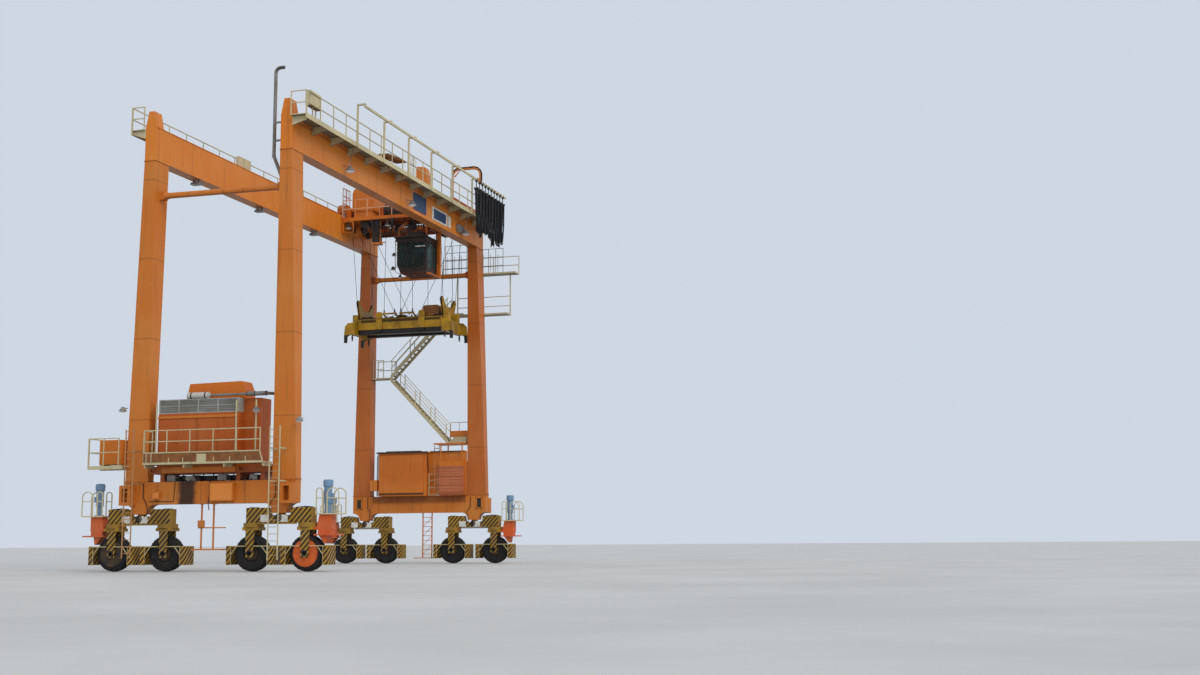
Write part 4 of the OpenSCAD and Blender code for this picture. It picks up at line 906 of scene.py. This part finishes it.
def house_gear():
    """Gear on the skid, louvre slats and muffler straps."""
    gear = Shape()
    for _ in range(16):
        x = -2.4 + 4.9 * random.random()
        wide = 0.15 + 0.4 * random.random()
        y = -11.7 + 0.5 * random.random()
        tall = 4.1 + 0.2 * random.random()
        gear.prism([(x, SILL_TOP), (x + wide, SILL_TOP), (x + wide, tall - 0.04), (x + wide - 0.05, tall),
                    (x + 0.03, tall), (x, tall - 0.05)], "y", y, y + 0.25)
    for y, z in zip(row(-11.35, 0.12, 4), row(4.06, 0.06, 4)):
        gear.rod((-2.5, y, z), (2.5, y, z), 0.035, 10)
    gear.make("skid_gear", "portal", "dark", bevel=0.008)
    slats = Shape()
    width = 0.985
    pitch = 0.26 / 6
    heights = row(BAND_Z + 0.04 + pitch / 2, pitch, 6) + row(BAND_Z + 0.34 + pitch / 2, pitch, 6)
    for left in row(HOUSE_X0 + 0.06, width, 4):
        for z in heights:
            slats.prism([(HOUSE_FRONT + 0.004, z - 0.02), (HOUSE_FRONT + 0.008, z - 0.022),
                         (HOUSE_FRONT + 0.05, z + 0.012), (HOUSE_FRONT + 0.046, z + 0.016)],
                        "x", left, left + width - 0.06)
    slats.make("radiator_slats", "portal", "louvre", smooth=False)
    straps = Shape()
    pipe = (-11.7, 7.83)
    for x in (-1.17, -0.47):
        straps.washer((x, *pipe), "x", 0.06, 0.158, 0.15, 24)
    for x in (1.62, 2.0, 2.56):
        straps.washer((x, *pipe), "x", 0.04, 0.112, 0.1, 20)
    straps.make("muffler_straps", "portal", "rim")


def walkway_front():
    """Mesh and trims on the rail of the walkway in front of the house."""
    face = WALKWAY_FRONT - 0.004
    left = -2.88
    mesh = Shape()
    mesh.prism([(left, 4.80), (2.98, 4.80), (2.86, 5.20), (left, 5.20)], "y", face, WALKWAY_FRONT)
    mesh.make("walkway_mesh", "portal", "mesh", smooth=False)
    trims = Shape()
    for x in (-2.75, -2.5, -1.62, -0.9, 0.62, 1.42, 2.18):
        trims.box((x, face - 0.008, 4.78), (x + 0.04, face, 5.0 if x > -2.4 else 5.2))
    trims.box((left - 0.02, face - 0.012, 5.20), (2.87, face, 5.25))
    trims.box((left - 0.02, face - 0.012, 4.70), (3.06, face, 4.77))
    trims.rod((2.87, WALKWAY_FRONT, 5.22), (3.02, WALKWAY_FRONT, 4.74), 0.016)
    trims.box((-0.20, face - 0.01, 4.76), (0.27, face, 5.14))
    trims.make("walkway_trims", "portal", "cream", bevel=0.003)


def engine_parts():
    """Hoses and mounts below the engine house."""
    hoses = Shape()
    for k, x in enumerate(row(-2.4, 0.5, 9)):
        sag = 0.10 + 0.06 * (k % 3)
        hoses.tube([(x, -11.75, 4.32), (x + 0.04, -11.86, 4.28), (x + 0.12, -11.88, 4.26 - sag),
                    (x + 0.3, -11.88, 4.18 - sag), (x + 0.45, -11.84, 4.06), (x + 0.5, -11.75, SILL_TOP)],
                   0.022)
    hoses.tube([(-0.3, -11.7, SILL_TOP), (0.1, -12.03, 3.98), (0.12, -12.06, 3.5), (0.02, -12.03, 3.0),
                (0.0, -11.9, 2.7)], 0.02)
    hoses.make("engine_hoses", "portal", "cable")
    mounts = Shape()
    for x0, x1, z1, y in ((-2.2, -1.75, 4.28, -11.9), (-1.3, -0.75, 4.22, -11.86), (0.35, 0.8, 4.27, -11.9),
                          (1.9, 2.3, 4.25, -11.84)):
        mounts.prism([(x0, SILL_TOP), (x1, SILL_TOP), (x1, z1 - 0.05), (x1 - 0.08, z1), (x0 + 0.04, z1)],
                     "y", y, y + 0.4)
    mounts.make("engine_mount_packs", "portal", "grey", bevel=0.01)


def girder_parts():
    """Bare plates, lamps, cabinets and pipe runs along the girders."""
    front = WEB_X + 0.03
    plates = Shape()
    plates.box((WEB_X, 4.1, 19.02), (front, 6.3, 19.75))
    plates.box((WEB_X, 6.45, 19.05), (front, 6.85, 19.7))
    plates.make("girder_plates", "portal", "white", bevel=0.008)
    blue = Shape()
    blue.box((WEB_X, 1.5, 19.02), (front, 3.25, 19.95))
    blue.box((WEB_X + 0.02, 4.3, 19.1), (WEB_X + 0.034, 6.1, 19.66))
    blue.make("girder_blue_plates", "portal", "navy", bevel=0.008)
    junction = Shape()
    junction.box((WEB_X, 7.7, 19.05), (WEB_X + 0.16, 8.6, 19.5))
    junction.make("girder_junction_box", "portal", "grey", bevel=0.01)
    pipes = Shape()
    x = WEB_X + 0.05
    for z in row(20.16, -0.055, 3):
        pipes.rod((x, -11.6, z), (x, 11.6, z), 0.02)
    pipes.make("girder_pipe_runs", "portal", "orange")
    board = Shape()
    board.box((4.601, -1.0, 20.32), (4.621, -0.1, 21.3))
    board.make("walkway_board", "portal", "white", bevel=0.006)
    tray = Shape()
    tray.prism([(-3.5, 20.62), (-1.3, 20.78), (-1.3, 20.9), (-3.5, 20.74)], "x", 4.0, 4.55)
    for y in (-3.3, -1.55):
        tray.box((4.45, y, 19.97), (4.5, y + 0.05, 20.67))
    tray.make("walkway_tray", "portal", "mesh", bevel=0.006)
    shells = Shape()
    glasses = Shape()
    places = [(4.1, y, 19.1) for y in (-6.9, 0.6, 8.4)]
    for x, y, z in places:
        shells.tube([(WEB_X + 0.5, y, 20.1), (x, y, z + 0.45), (x, y, z + 0.1)], 0.02)
        shells.rod((WEB_X, y, z + 0.2), (x, y, z + 0.12), 0.02)
    for y in (-8.2, -2.0, 4.2):
        glasses.box((-3.6, y - 0.055, 18.597), (-3.36, y + 0.055, 18.609))
    lamps("girder", "portal", shells, "grey", glasses, places, [(0.14, 0.06), (0.08, 0.11), (-0.1, 0.24)],
          [(-0.104, 0.22), (-0.15, 0.14), (-0.17, 0.02)], 24)
    clips = Shape()
    for y in row(-11.4, 0.385, 60):
        for side in SIDES:
            for x in (side * RAIL_X - 0.055, side * RAIL_X + 0.055):
                clips.box((x - 0.02, y - 0.04, 20.39), (x + 0.02, y + 0.04, 20.415))
    clips.make("rail_clips", "portal", "dark", smooth=False)


def festoon():
    """Cable loops between carriers along the track, baked in place where they hang."""
    z_top = TRACK_Z - 0.12
    hang = z_top - 0.42
    count = 9
    pitch = (FESTOON_Y1 - FESTOON_Y0) / count
    clamps = Shape()
    for y in row(FESTOON_Y0, pitch, count + 1):
        clamps.box((TRACK_X - 0.05, y - 0.07, z_top - 0.1), (TRACK_X + 0.05, y + 0.07, z_top - 0.002))
        clamps.post(TRACK_X, y, 0.02, hang, z_top - 0.1)
        clamps.box((TRACK_X - 0.13, y - 0.06, hang - 0.12), (TRACK_X + 0.13, y + 0.06, hang))
        for side in SIDES:
            wheel = TRACK_X + side * 0.045
            clamps.rod((wheel, y, z_top + 0.03), (wheel + side * 0.03, y, z_top + 0.03), 0.035, 12)
    cables = Shape()
    for n in range(count):
        middle = FESTOON_Y0 + (n + 0.5) * pitch
        wander = 0.5 * random.random()
        for lane in range(6):
            depth = 2.0 + wander + 0.35 * random.random() + 0.2 * (n / count)
            x = TRACK_X - 0.075 + 0.03 * lane
            belly = 0.2 + 0.3 * random.random()
            lean = 0.1 * (random.random() - 0.5)
            path = []
            for k in range(25):
                turn = math.pi * k / 24
                drop = abs(math.sin(turn)) ** 0.3
                pinch = 1 - min(1.0, max(0.0, (drop - 0.4) / 0.35)) * (1 - belly)
                y = middle - math.cos(turn) * pinch * pitch / 2 + lean * drop
                path.append((x + 0.02 * math.sin(3 * turn + lane), y, hang - 0.1 - depth * drop))
            cables.tube(path, 0.021 + 0.006 * (lane % 2), 7)
    piece = cables.make("festoon_loops", "portal", "cable", stands_for=["festoon_cables"], ride=False)
    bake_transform(piece)
    piece = clamps.make("festoon_clamps", "portal", "dark", ride=False)
    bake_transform(piece)


def ropes():
    """Ropes from the trolley down round the spreader's sheaves and up, and to its anchors."""
    set_of = Shape()
    sockets = Shape()
    top = 20.0
    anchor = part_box("hoist_ropes")[0].z
    groove = SHEAVE_R - 0.013
    socket = [(0.0, 0.045), (0.05, 0.045), (0.24, 0.018), (0.25, 0.014)]
    for sx, sy in CORNERS.values():
        middle = TROLLEY_Y + sy * SHEAVE_Y
        path = [(sx * ROPE_X, TROLLEY_Y + sy * (ROPE_Y + 0.05), top)]
        for k in range(13):
            turn = math.pi * k / 12
            y = middle + sy * groove * math.cos(turn)
            path.append((sx * SHEAVE_X, y, SHEAVE_Z - groove * math.sin(turn)))
        path.append((sx * 2.46, middle - sy * 0.12, top))
        set_of.tube(path, 0.013)
        for x0, x1, out in ((0.84, 0.90, ROPE_Y), (2.85, 0.2, ROPE_Y + 0.07)):
            y = TROLLEY_Y + sy * out
            set_of.rod((sx * x0, y, top), (sx * x1, y, anchor), 0.013)
            sockets.lathe(socket, (sx * x1, y, anchor), "z", 12)
    piece = set_of.make("hoist_rope_set", "trolley", "rope", stands_for=["hoist_ropes"], ride=False)
    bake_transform(piece)
    sockets.make("rope_sockets", "spreader", "dark")


def cab_outside(low, high, top, sill):
    """Window frames, floor plate and guard rails of the cab, which is raked in front."""
    frames = Shape()
    foot = low.z + 0.25
    head = top - 0.25
    for y in (low.y - 0.022, high.y):
        for x in (low.x + 0.55, low.x + 1.05, high.x - 0.17):
            frames.box((x, y, foot), (x + 0.05, y + 0.022, head))
        for x0, x1, z0, z1 in ((low.x + 0.03, high.x, low.z + 1.38, low.z + 1.44),
                               (low.x + 0.06, low.x + 0.6, sill + 0.02, sill + 0.07),
                               (low.x + 0.24, high.x - 0.02, low.z + 0.22, low.z + 0.28),
                               (low.x + 0.03, high.x - 0.02, top - 0.32, top - 0.27)):
            frames.box((x0, y, z0), (x1, y + 0.022, z1))
    for y in row(low.y + 0.1, (high.y - low.y - 0.24) / 2, 3):
        frames.box((low.x - 0.02, y, sill + 0.06), (low.x, y + 0.04, head))
        frames.box((high.x, y, foot), (high.x + 0.015, y + 0.04, head))
    frames.box((low.x - 0.02, low.y, low.z + 1.40), (low.x, high.y, low.z + 1.45))
    frames.prism([(low.x - 0.16, top - 0.03), (high.x + 0.01, top - 0.03), (high.x + 0.01, top + 0.05),
                  (low.x - 0.04, top + 0.05), (low.x - 0.16, top)], "y", low.y - 0.12, high.y + 0.05)
    frames.make("cab_window_frames", "trolley", "cabin", bevel=0.006)
    floor = Shape()
    floor.box((low.x + 0.2, low.y - 0.01, low.z - 0.035), (high.x, high.y + 0.01, low.z))
    for y in row(low.y + 0.2, (high.y - low.y - 0.46) / 2, 3):
        floor.box((low.x + 0.25, y, low.z - 0.075), (high.x - 0.05, y + 0.06, low.z - 0.035))
    floor.make("cab_floor_plate", "trolley", "maroon", bevel=0.006)
    rails = Shape()
    out = low.x - 0.14
    for y in (low.y + 0.1, high.y - 0.1):
        rails.tube([(low.x, y, top - 0.1), (out, y, top - 0.16), (out, y, low.z + 0.1),
                    (low.x + 0.2, y, low.z - 0.06)], 0.018)
    for z in (sill, low.z + 1.1, low.z + 1.7):
        rails.rod((out, low.y + 0.1, z), (out, high.y - 0.1, z), 0.014)
    for side in SIDES:
        y = (low.y + high.y) / 2 + side * 0.4
        rails.tube([(low.x + 0.02, y, top - 0.3), (low.x - 0.03, y - 0.1, top - 0.75),
                    (low.x - 0.03, y - 0.22, top - 1.2)], 0.012, 6)
    rails.make("cab_guard_rails", "trolley", "dark")


def cab_inside(x, y, z):
    """Column, desks with a lever each, and seat of the cab, about a point on its floor."""
    desks = Shape()
    desks.rod((x, y, z), (x, y, z + 0.42), 0.07, 16)
    desk = [(x + 0.15, z), (x + 0.55, z), (x + 0.6, z + 0.78), (x + 0.5, z + 0.86), (x + 0.1, z + 0.8)]
    for side in SIDES:
        desks.prism(desk, "y", y + side * 0.34, y + side * 0.62)
        lever = (x + 0.3, y + side * 0.48)
        desks.rod((*lever, z + 0.8), (*lever, z + 1.0), 0.014)
        knob = [(z + 1.0, 0.014), (z + 1.02, 0.03), (z + 1.06, 0.03), (z + 1.08, 0.01)]
        desks.lathe(knob, (*lever, 0), "z", 12)
    desks.make("cab_desks", "trolley", "dark", bevel=0.02)
    seat = Shape()
    seat.prism([(x - 0.25, z + 0.42), (x + 0.25, z + 0.42), (x + 0.29, z + 0.47), (x + 0.26, z + 0.56),
                (x, z + 0.53), (x - 0.25, z + 0.56)], "y", y - 0.25, y + 0.25)
    seat.prism([(x + 0.20, z + 0.54), (x + 0.31, z + 0.5), (x + 0.42, z + 1.2), (x + 0.38, z + 1.26),
                (x + 0.31, z + 1.22)], "y", y - 0.23, y + 0.23)
    seat.make("cab_seat", "trolley", "seat", bevel=0.035)


def cab_parts():
    """The cab outside and inside, with its lamps, horn and light bars."""
    low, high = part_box("operator_cab")
    cab_outside(low, high, low.z + 2.05, low.z + 0.5)
    cab_inside(low.x + 0.85, (low.y + high.y) / 2, low.z + 0.06)
    shells = Shape()
    places = [(x, low.y + 0.15, z) for x, z in ((0.56, 16.78), (0.61, 17.59), (0.78, 18.40), (1.02, 16.30))]
    for x, y, z in places:
        shells.rod((low.x + 0.1, y, z + 0.05), (x, y, z + 0.05), 0.016)
    horn = (low.x - 0.1, low.y, low.z + 0.25)
    shells.lathe([(-0.3, 0.1), (-0.12, 0.035), (0.02, 0.03)], horn, "y", 16)
    lamps("cab", "trolley", shells, "dark", Shape(), places, [(0.08, 0.04), (0.02, 0.07), (-0.1, 0.12)],
          [(-0.101, 0.11), (-0.12, 0.06), (-0.125, 0.01)], 16)
    bars = Shape()
    for x0, x1 in ((2.02, 2.4), (2.46, 2.62)):
        bars.box((x0, low.y - 0.07, 17.90), (x1, low.y - 0.025, 17.95))
    bars.make("cab_light_bars", "trolley", "lamp", bevel=0.008)


def arm_parts():
    """Cables over the towing arm, with clips and a gusset at its first bend."""
    low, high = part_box("festoon_arm")
    y = (low.y + high.y) / 2
    x0 = RAIL_X
    x1 = TRACK_X + 0.12
    z = TRACK_Z + 0.66
    cables = Shape()
    middle = z - 0.4
    for lift, radius in ((0.085, 0.03), (0.13, 0.02)):
        bend = 0.4 + lift
        path = [(x0 - 0.02, y - 0.09, low.z + 0.3), (x0 - 0.02, y - 0.05, z - 0.5)]
        for t in (0.5, 0.9, 1.3):
            path.append((x0 + 0.4 - bend * math.cos(t), y, middle + bend * math.sin(t)))
        for t in (0.0, 0.5, 1.0, 1.45):
            path.append((x1 - 0.4 + bend * math.sin(t), y, middle + bend * math.cos(t)))
        path += [(x1 + lift, y, TRACK_Z), (x1 + lift - 0.05, y, TRACK_Z - 0.32)]
        cables.tube(path, radius, 10)
    cables.make("arm_cables", "trolley", "cable")
    clips = Shape()
    for x in (3.95, 4.4, 4.8):
        clips.box((x, y - 0.06, z - 0.06), (x + 0.05, y + 0.06, z + 0.15))
    for drop in (0.75, 1.3):
        clips.box((x0 - 0.06, y - 0.14, z - drop), (x0 + 0.06, y + 0.06, z - drop + 0.05))
    clips.prism([(x0 + 0.04, z - 0.42), (x0 + 0.16, z - 0.42), (x0 + 0.42, z - 0.1), (x0 + 0.42, z - 0.04)],
                "y", y - 0.01, y + 0.01)
    clips.make("arm_clips", "trolley", "orange")


def deck_frames():
    """Rails and cage on the trolley deck, gear and frames that hang under it."""
    rails = Shape()
    end = 3.1
    for y in (7.07, 11.2):
        for z in (DECK + 0.54, DECK + 1.06):
            rails.rod((-end, y, z), (end, y, z), 0.022)
        for x in row(-end, end / 4, 9):
            rails.rod((x, y, DECK), (x, y, DECK + 1.06), 0.022)
    rails.make("deck_rails", "trolley", "rail_orange")
    cage = Shape()
    x = -3.13
    for y in row(7.12, 0.21, 5):
        cage.rod((x, y, DECK), (x, y, DECK + 1.85), 0.016)
    for rise in (0.45, 0.9, 1.35, 1.83):
        cage.rod((x, 7.1, DECK + rise), (x, 7.97, DECK + rise), 0.014)
    cage.make("deck_cage", "trolley", "pale")
    gear = Shape()
    gear.prism([(-1.24, 18.6), (-0.86, 18.6), (-0.82, 18.75), (-0.82, DECK_LOW), (-1.29, DECK_LOW),
                (-1.29, 18.75)], "y", 7.2, 7.6)
    gear.prism([(-2.05, 19.62), (-1.6, 19.62), (-1.55, 19.7), (-1.55, DECK_LOW), (-2.1, DECK_LOW),
                (-2.1, 19.7)], "y", 7.3, 7.9)
    gear.box((2.72, 8.0, 18.9), (3.05, 8.5, DECK_LOW))
    reel = [(0.0, 0.28), (0.03, 0.28), (0.05, 0.2), (0.15, 0.2), (0.17, 0.28), (0.2, 0.28)]
    for x in (-2.3, -0.1, 0.8):
        gear.lathe(reel, (x, 8.05, 19.62), "x", 28)
        for left in (x - 0.05, x + 0.21):
            gear.box((left, 8.0, 19.6), (left + 0.04, 8.1, DECK_LOW))
    sheave = [(-0.035, 0.24), (-0.012, 0.21), (0.012, 0.21), (0.035, 0.24)]
    for sx, sy in CORNERS.values():
        gear.lathe(sheave, (sx * ROPE_X, TROLLEY_Y + sy * 0.97, 19.76), "x", 24)
    gear.make("deck_gear", "trolley", "dark", bevel=0.01)
    hanger = Shape()
    for y in (7.1, 7.85):
        hanger.post(-3.08, y, 0.025, 19.28, DECK_LOW)
        hanger.post(-2.45, y, 0.025, 19.28, DECK_LOW)
        hanger.box((-3.08, y - 0.03, 19.25), (-2.45, y + 0.03, 19.31))
    hanger.post(-0.77, 7.25, 0.03, 18.58, DECK_LOW)
    hanger.box((-0.86, 7.22, 18.56), (-0.46, 7.28, 18.62))
    hanger.box((-1.33, 7.16, 18.5), (-0.78, 7.64, 18.6))
    hanger.make("deck_hanging_frames", "trolley", "orange", bevel=0.006)


def deck_cables():
    """Hoses, cable trays and lamps under the trolley deck, and the panels of the hoods on it."""
    hoses = Shape()
    for n in range(26):
        x = -1.4 + 4.2 * random.random()
        y = 6.9 + 0.9 * random.random()
        wide = 0.18 + 0.5 * random.random()
        sag = 0.15 + 0.75 * random.random()
        path = [(x - wide, y, DECK_LOW)]
        for k in range(9):
            turn = math.pi * k / 8
            path.append((x - wide * math.cos(turn), y + 0.08 * math.sin(2 * turn + n),
                         19.72 - sag * math.sin(turn) ** 0.6))
        path.append((x + wide, y, DECK_LOW))
        hoses.tube(path, 0.016 + 0.012 * random.random(), 7)
    for x, y in zip(row(0.9, 0.1, 7), row(7.6, 0.16, 7)):
        ends = [(x - 0.1, y, 19.7), (x - 0.1, y + 0.05, DECK_LOW)]
        hoses.tube([(x, 6.4, 18.9), (x, 6.6, 19.3)] + ends, 0.02, 7)
    hoses.make("deck_hoses", "trolley", "cable")
    trays = Shape()
    for y in (7.35, 7.95):
        for side in (y, y + 0.22):
            trays.box((-2.6, side, 19.86), (2.6, side + 0.03, DECK_LOW))
        for x in row(-2.55, 0.39, 14):
            trays.box((x, y + 0.03, 19.86), (x + 0.03, y + 0.22, 19.88))
    trays.make("deck_cable_trays", "trolley", "trolley")
    shells = Shape()
    places = [(x, y, 19.62) for x, y in ((-2.7, 7.0), (-0.2, 6.98), (2.85, 6.98), (-2.7, 11.3), (2.7, 11.3))]
    for x, y, z in places:
        shells.rod((x, y, z + 0.05), (x, y, DECK_LOW + 0.02), 0.018)
    lamps("deck", "trolley", shells, "dark", Shape(), places, [(0.1, 0.06), (0.04, 0.1), (-0.1, 0.19)],
          [(-0.104, 0.175), (-0.14, 0.1), (-0.15, 0.02)], 20)
    covers = Shape()
    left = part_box("machinery_hood")[0].x
    front = 8.05
    for y in row(front, 0.87, 3):
        for x in (left, -1.588):
            covers.box((x - 0.012, y + 0.04, DECK + 0.66), (x, y + 0.80, DECK + 1.6))
    for x in row(left + 0.12, 0.68, 2):
        covers.box((x, front - 0.012, DECK + 0.66), (x + 0.62, front, DECK + 1.62))
        covers.box((x + 0.52, front - 0.05, DECK + 1.1), (x + 0.55, front - 0.01, DECK + 1.25))
    covers.box((1.36, 7.388, DECK + 0.1), (2.02, 7.4, DECK + 2.1))
    covers.make("hood_panels", "trolley", "orange", bevel=0.008)


def spreader_parts():
    """Hoses, boxes, flipper gear and wear strips of the spreader."""
    hoses = Shape()
    for z in row(14.22, -0.05, 3):
        hoses.rod((-2.5, TROLLEY_Y - 0.87, z), (2.5, TROLLEY_Y - 0.87, z), 0.014, 7)
    for x in row(-2.2, 0.5, 9):
        rise = 0.12 + 0.12 * random.random()
        hoses.tube([(x, TROLLEY_Y - 0.5, 14.34), (x + 0.05, TROLLEY_Y - 0.52, 14.34 + rise),
                    (x + 0.25, TROLLEY_Y - 0.6, 14.36 + rise), (x + 0.42, TROLLEY_Y - 0.62, 14.33)], 0.016, 7)
    hoses.make("spreader_hoses", "spreader", "cable")
    gear = Shape()
    for x0, x1, y, z1 in ((-0.2, 0.25, TROLLEY_Y - 0.75, 14.5), (-2.2, -1.85, TROLLEY_Y - 0.7, 14.46),
                          (0.5, 0.8, TROLLEY_Y + 0.45, 14.5), (-1.2, -0.8, TROLLEY_Y + 0.4, 14.48)):
        gear.prism([(x0, SLEEVE_TOP), (x1, SLEEVE_TOP), (x1, z1 - 0.03), (x1 - 0.04, z1), (x0 + 0.04, z1),
                    (x0, z1 - 0.03)], "y", y, y + 0.3)
    for sx, sy in CORNERS.values():
        y = TROLLEY_Y + sy * 0.89
        for x in (sx * 1.34 - 0.1, sx * 1.34 + 0.1):
            for z in (13.75, 14.0, 14.25):
                gear.rod((x, y, z), (x, y + sy * 0.02, z), 0.018, 6)
        ends = [(sx * x, TROLLEY_Y + sy * out, 14.42) for x, out in ((2.55, 0.6), (2.3, 0.62), (2.0, 0.64))]
        gear.rod(ends[0], ends[1], 0.05, 14)
        gear.rod(ends[1], ends[2], 0.028, 12)
    gear.make("spreader_gear", "spreader", "dark", bevel=0.006)
    motor = Shape()
    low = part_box("sheave_towers")[0].z + 0.12
    bell = [(1.12, 0.05), (1.14, 0.15), (1.3, 0.16), (1.32, 0.1)]
    motor.lathe(bell, (0, TROLLEY_Y - 0.2, low + 0.25), "x", 24)
    for x in row(1.42, 0.19, 5):
        motor.box((x, TROLLEY_Y - 0.642, low + 0.06), (x + 0.03, TROLLEY_Y - 0.63, low + 0.42))
    motor.make("spreader_power_trim", "spreader", "rim", bevel=0.004)
    for name, side in (("extension_left", -1), ("extension_right", 1)):
        trim = Shape()
        for sy in SIDES:
            y = TROLLEY_Y + sy * 1.217
            for x in (side * 2.78, side * 2.98):
                for z in (13.5, 13.62, 13.74):
                    trim.rod((x, y, z), (x, y + sy * 0.016, z), 0.016, 6)
            trim.lathe([(12.99, 0.02), (13.06, 0.045), (13.13, 0.04), (13.16, 0.055), (13.262, 0.055)],
                       (side * 2.9265, TROLLEY_Y + sy * 1.1295, 0), "z", 16)
        trim.make(f"{name}_trim", name, "dark")


def far_houses():
    """Panels, edges, steps and grilles of the houses on the far sill."""
    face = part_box("electric_house")[0].y + 0.05
    panel = Shape()
    panel.box((-2.33, face - 0.035, 4.15), (0.5, face + 0.02, 6.4))
    panel.box((-0.9, face - 0.06, 5.2), (-0.87, face - 0.03, 5.4))
    panel.make("electric_house_panel", "portal", "far_house", bevel=0.012)
    edge = Shape()
    edge.prism([(face - 0.12, 6.5), (face, 6.56), (face, 6.6), (face - 0.06, 6.6), (face - 0.13, 6.56)],
               "x", -2.5, 0.78)
    edge.box((-2.36, face - 0.05, 4.06), (0.53, face + 0.02, 4.12))
    right = 2.98
    edge.box((0.78, 11.3, 6.56), (right, 11.36, 6.62))
    edge.make("far_roof_edges", "portal", "rim", bevel=0.006)
    upper = Shape()
    upper.box((0.56, 11.42, 3.98), (3.08, 11.5, 6.6))
    upper.box((-2.95, 11.0, 4.3), (-2.5, 11.3, 4.95))
    upper.box((1.8, 11.9, 7.46), (right, 11.94, 7.84))
    upper.make("far_back_panels", "portal", "orange", bevel=0.01)
    steps = Shape()
    for x, y, z0, z1 in ((1.8, 11.5, 7.08, 7.2), (1.95, 11.6, 7.2, 7.33), (2.1, 11.7, 7.33, 7.46)):
        steps.box((x, y, z0), (right, 11.9, z1))
    y = 11.92
    top = 8.34
    for x in (1.85, 2.4, 2.95):
        steps.rod((x, y, 7.84), (x, y, top), 0.02)
    steps.rod((1.85, y, top), (2.95, y, top), 0.02)
    steps.make("far_cabinet_steps", "portal", "cream", bevel=0.008)
    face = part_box("control_cabinet")[0].y + 0.05
    grilles = Shape()
    for z in row(4.4, 0.17, 8):
        slat = [(face - 0.022, z), (face - 0.018, z - 0.004), (face, z + 0.045), (face - 0.004, z + 0.05)]
        grilles.prism(slat, "x", 1.24, 2.88)
    for x in (1.16, 2.88):
        grilles.box((x, face - 0.025, 4.2), (x + 0.06, face, 5.9))
    grilles.make("control_cabinet_grilles", "portal", "cabinet", smooth=False)


def far_rails():
    """Rails, landing cage, service ladder and pipes on the far side."""
    rails = Shape()
    for x0, x1, y, z0, z1, rungs in ((0.78, 1.36, 11.2, 3.98, 5.25, (4.02, 4.45, 4.88, 5.25)),
                                     (0.95, 1.25, 11.6, 5.9, 7.0, (6.2, 6.5, 6.8))):
        for x in (x0, x1):
            rails.rod((x, y, z0), (x, y, z1), 0.025)
        for z in rungs:
            rails.rod((x0, y, z), (x1, y, z), 0.02)
    rails.make("far_frame_rails", "portal", "cream")
    cage = Shape()
    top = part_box("far_stair")[1]
    landing = top.z - 1.08
    far = top.y - 0.03
    for x in row(1.1, 0.47, 9):
        cage.rod((x, far, landing), (x, far, landing + (1.95 if x < 2.6 else 1.6)), 0.018)
        cage.rod((x, far - 0.9, landing), (x, far - 0.9, top.z), 0.014)
    for x0, x1, heights in ((1.1, 2.51, (0.5, 1.0, 1.5, 1.95)), (2.51, 4.86, (0.55, 1.08, 1.6))):
        for height in heights:
            cage.rod((x0, far, landing + height), (x1, far, landing + height), 0.016)
    # The cage rails take the dark rail paint, as painted shade.
    cage.make("far_landing_cage", "portal", "rail_dark")
    ladder = Shape()
    x0 = 0.2
    x1 = 0.78
    for x in (x0, x1):
        ladder.post(x, HALF, 0.03, 0.34, SILL_LOW)
    for z in row(0.55, 0.27, 9):
        ladder.rod((x0, HALF, z), (x1, HALF, z), 0.016)
    for z in row(0.55, 0.54, 4):
        ladder.rod((x0, HALF + 0.02, z), (x1, HALF + 0.02, z + 0.54), 0.014)
    ladder.box((-0.3, HALF - 0.22, 0.30), (0.81, HALF + 0.22, 0.35))
    ladder.make("far_service_ladder", "portal", "orange", bevel=0.004)
    pipes = Shape()
    for k, x in enumerate(row(-2.5, -0.06, 3)):
        pipes.tube([(x, 11.3, SILL_TOP), (x, 11.3, 6.3), (x + 0.04, 11.4, 6.62),
                    (-2.2, 11.5 + 0.1 * k, 6.62)], 0.022)
    pipes.tube([(-1.9, 11.0, 6.62), (0.3, 11.0, 6.62), (0.7, 11.1, 6.5), (0.74, 11.2, 5.4)], 0.03)
    pipes.make("far_pipe_runs", "portal", "rim")


floor_and_light()
for corner in CORNERS:
    for place in PLACES:
        wheel_parts(corner, place)
for corner in CORNERS:
    bogie_parts(corner)
    for place in PLACES:
        fork_parts(corner, place)
sill_parts()
flange_bolts()
house_doors()
house_gear()
walkway_front()
engine_parts()
girder_parts()
festoon()
ropes()
cab_parts()
arm_parts()
deck_frames()
deck_cables()
spreader_parts()
far_houses()
far_rails()
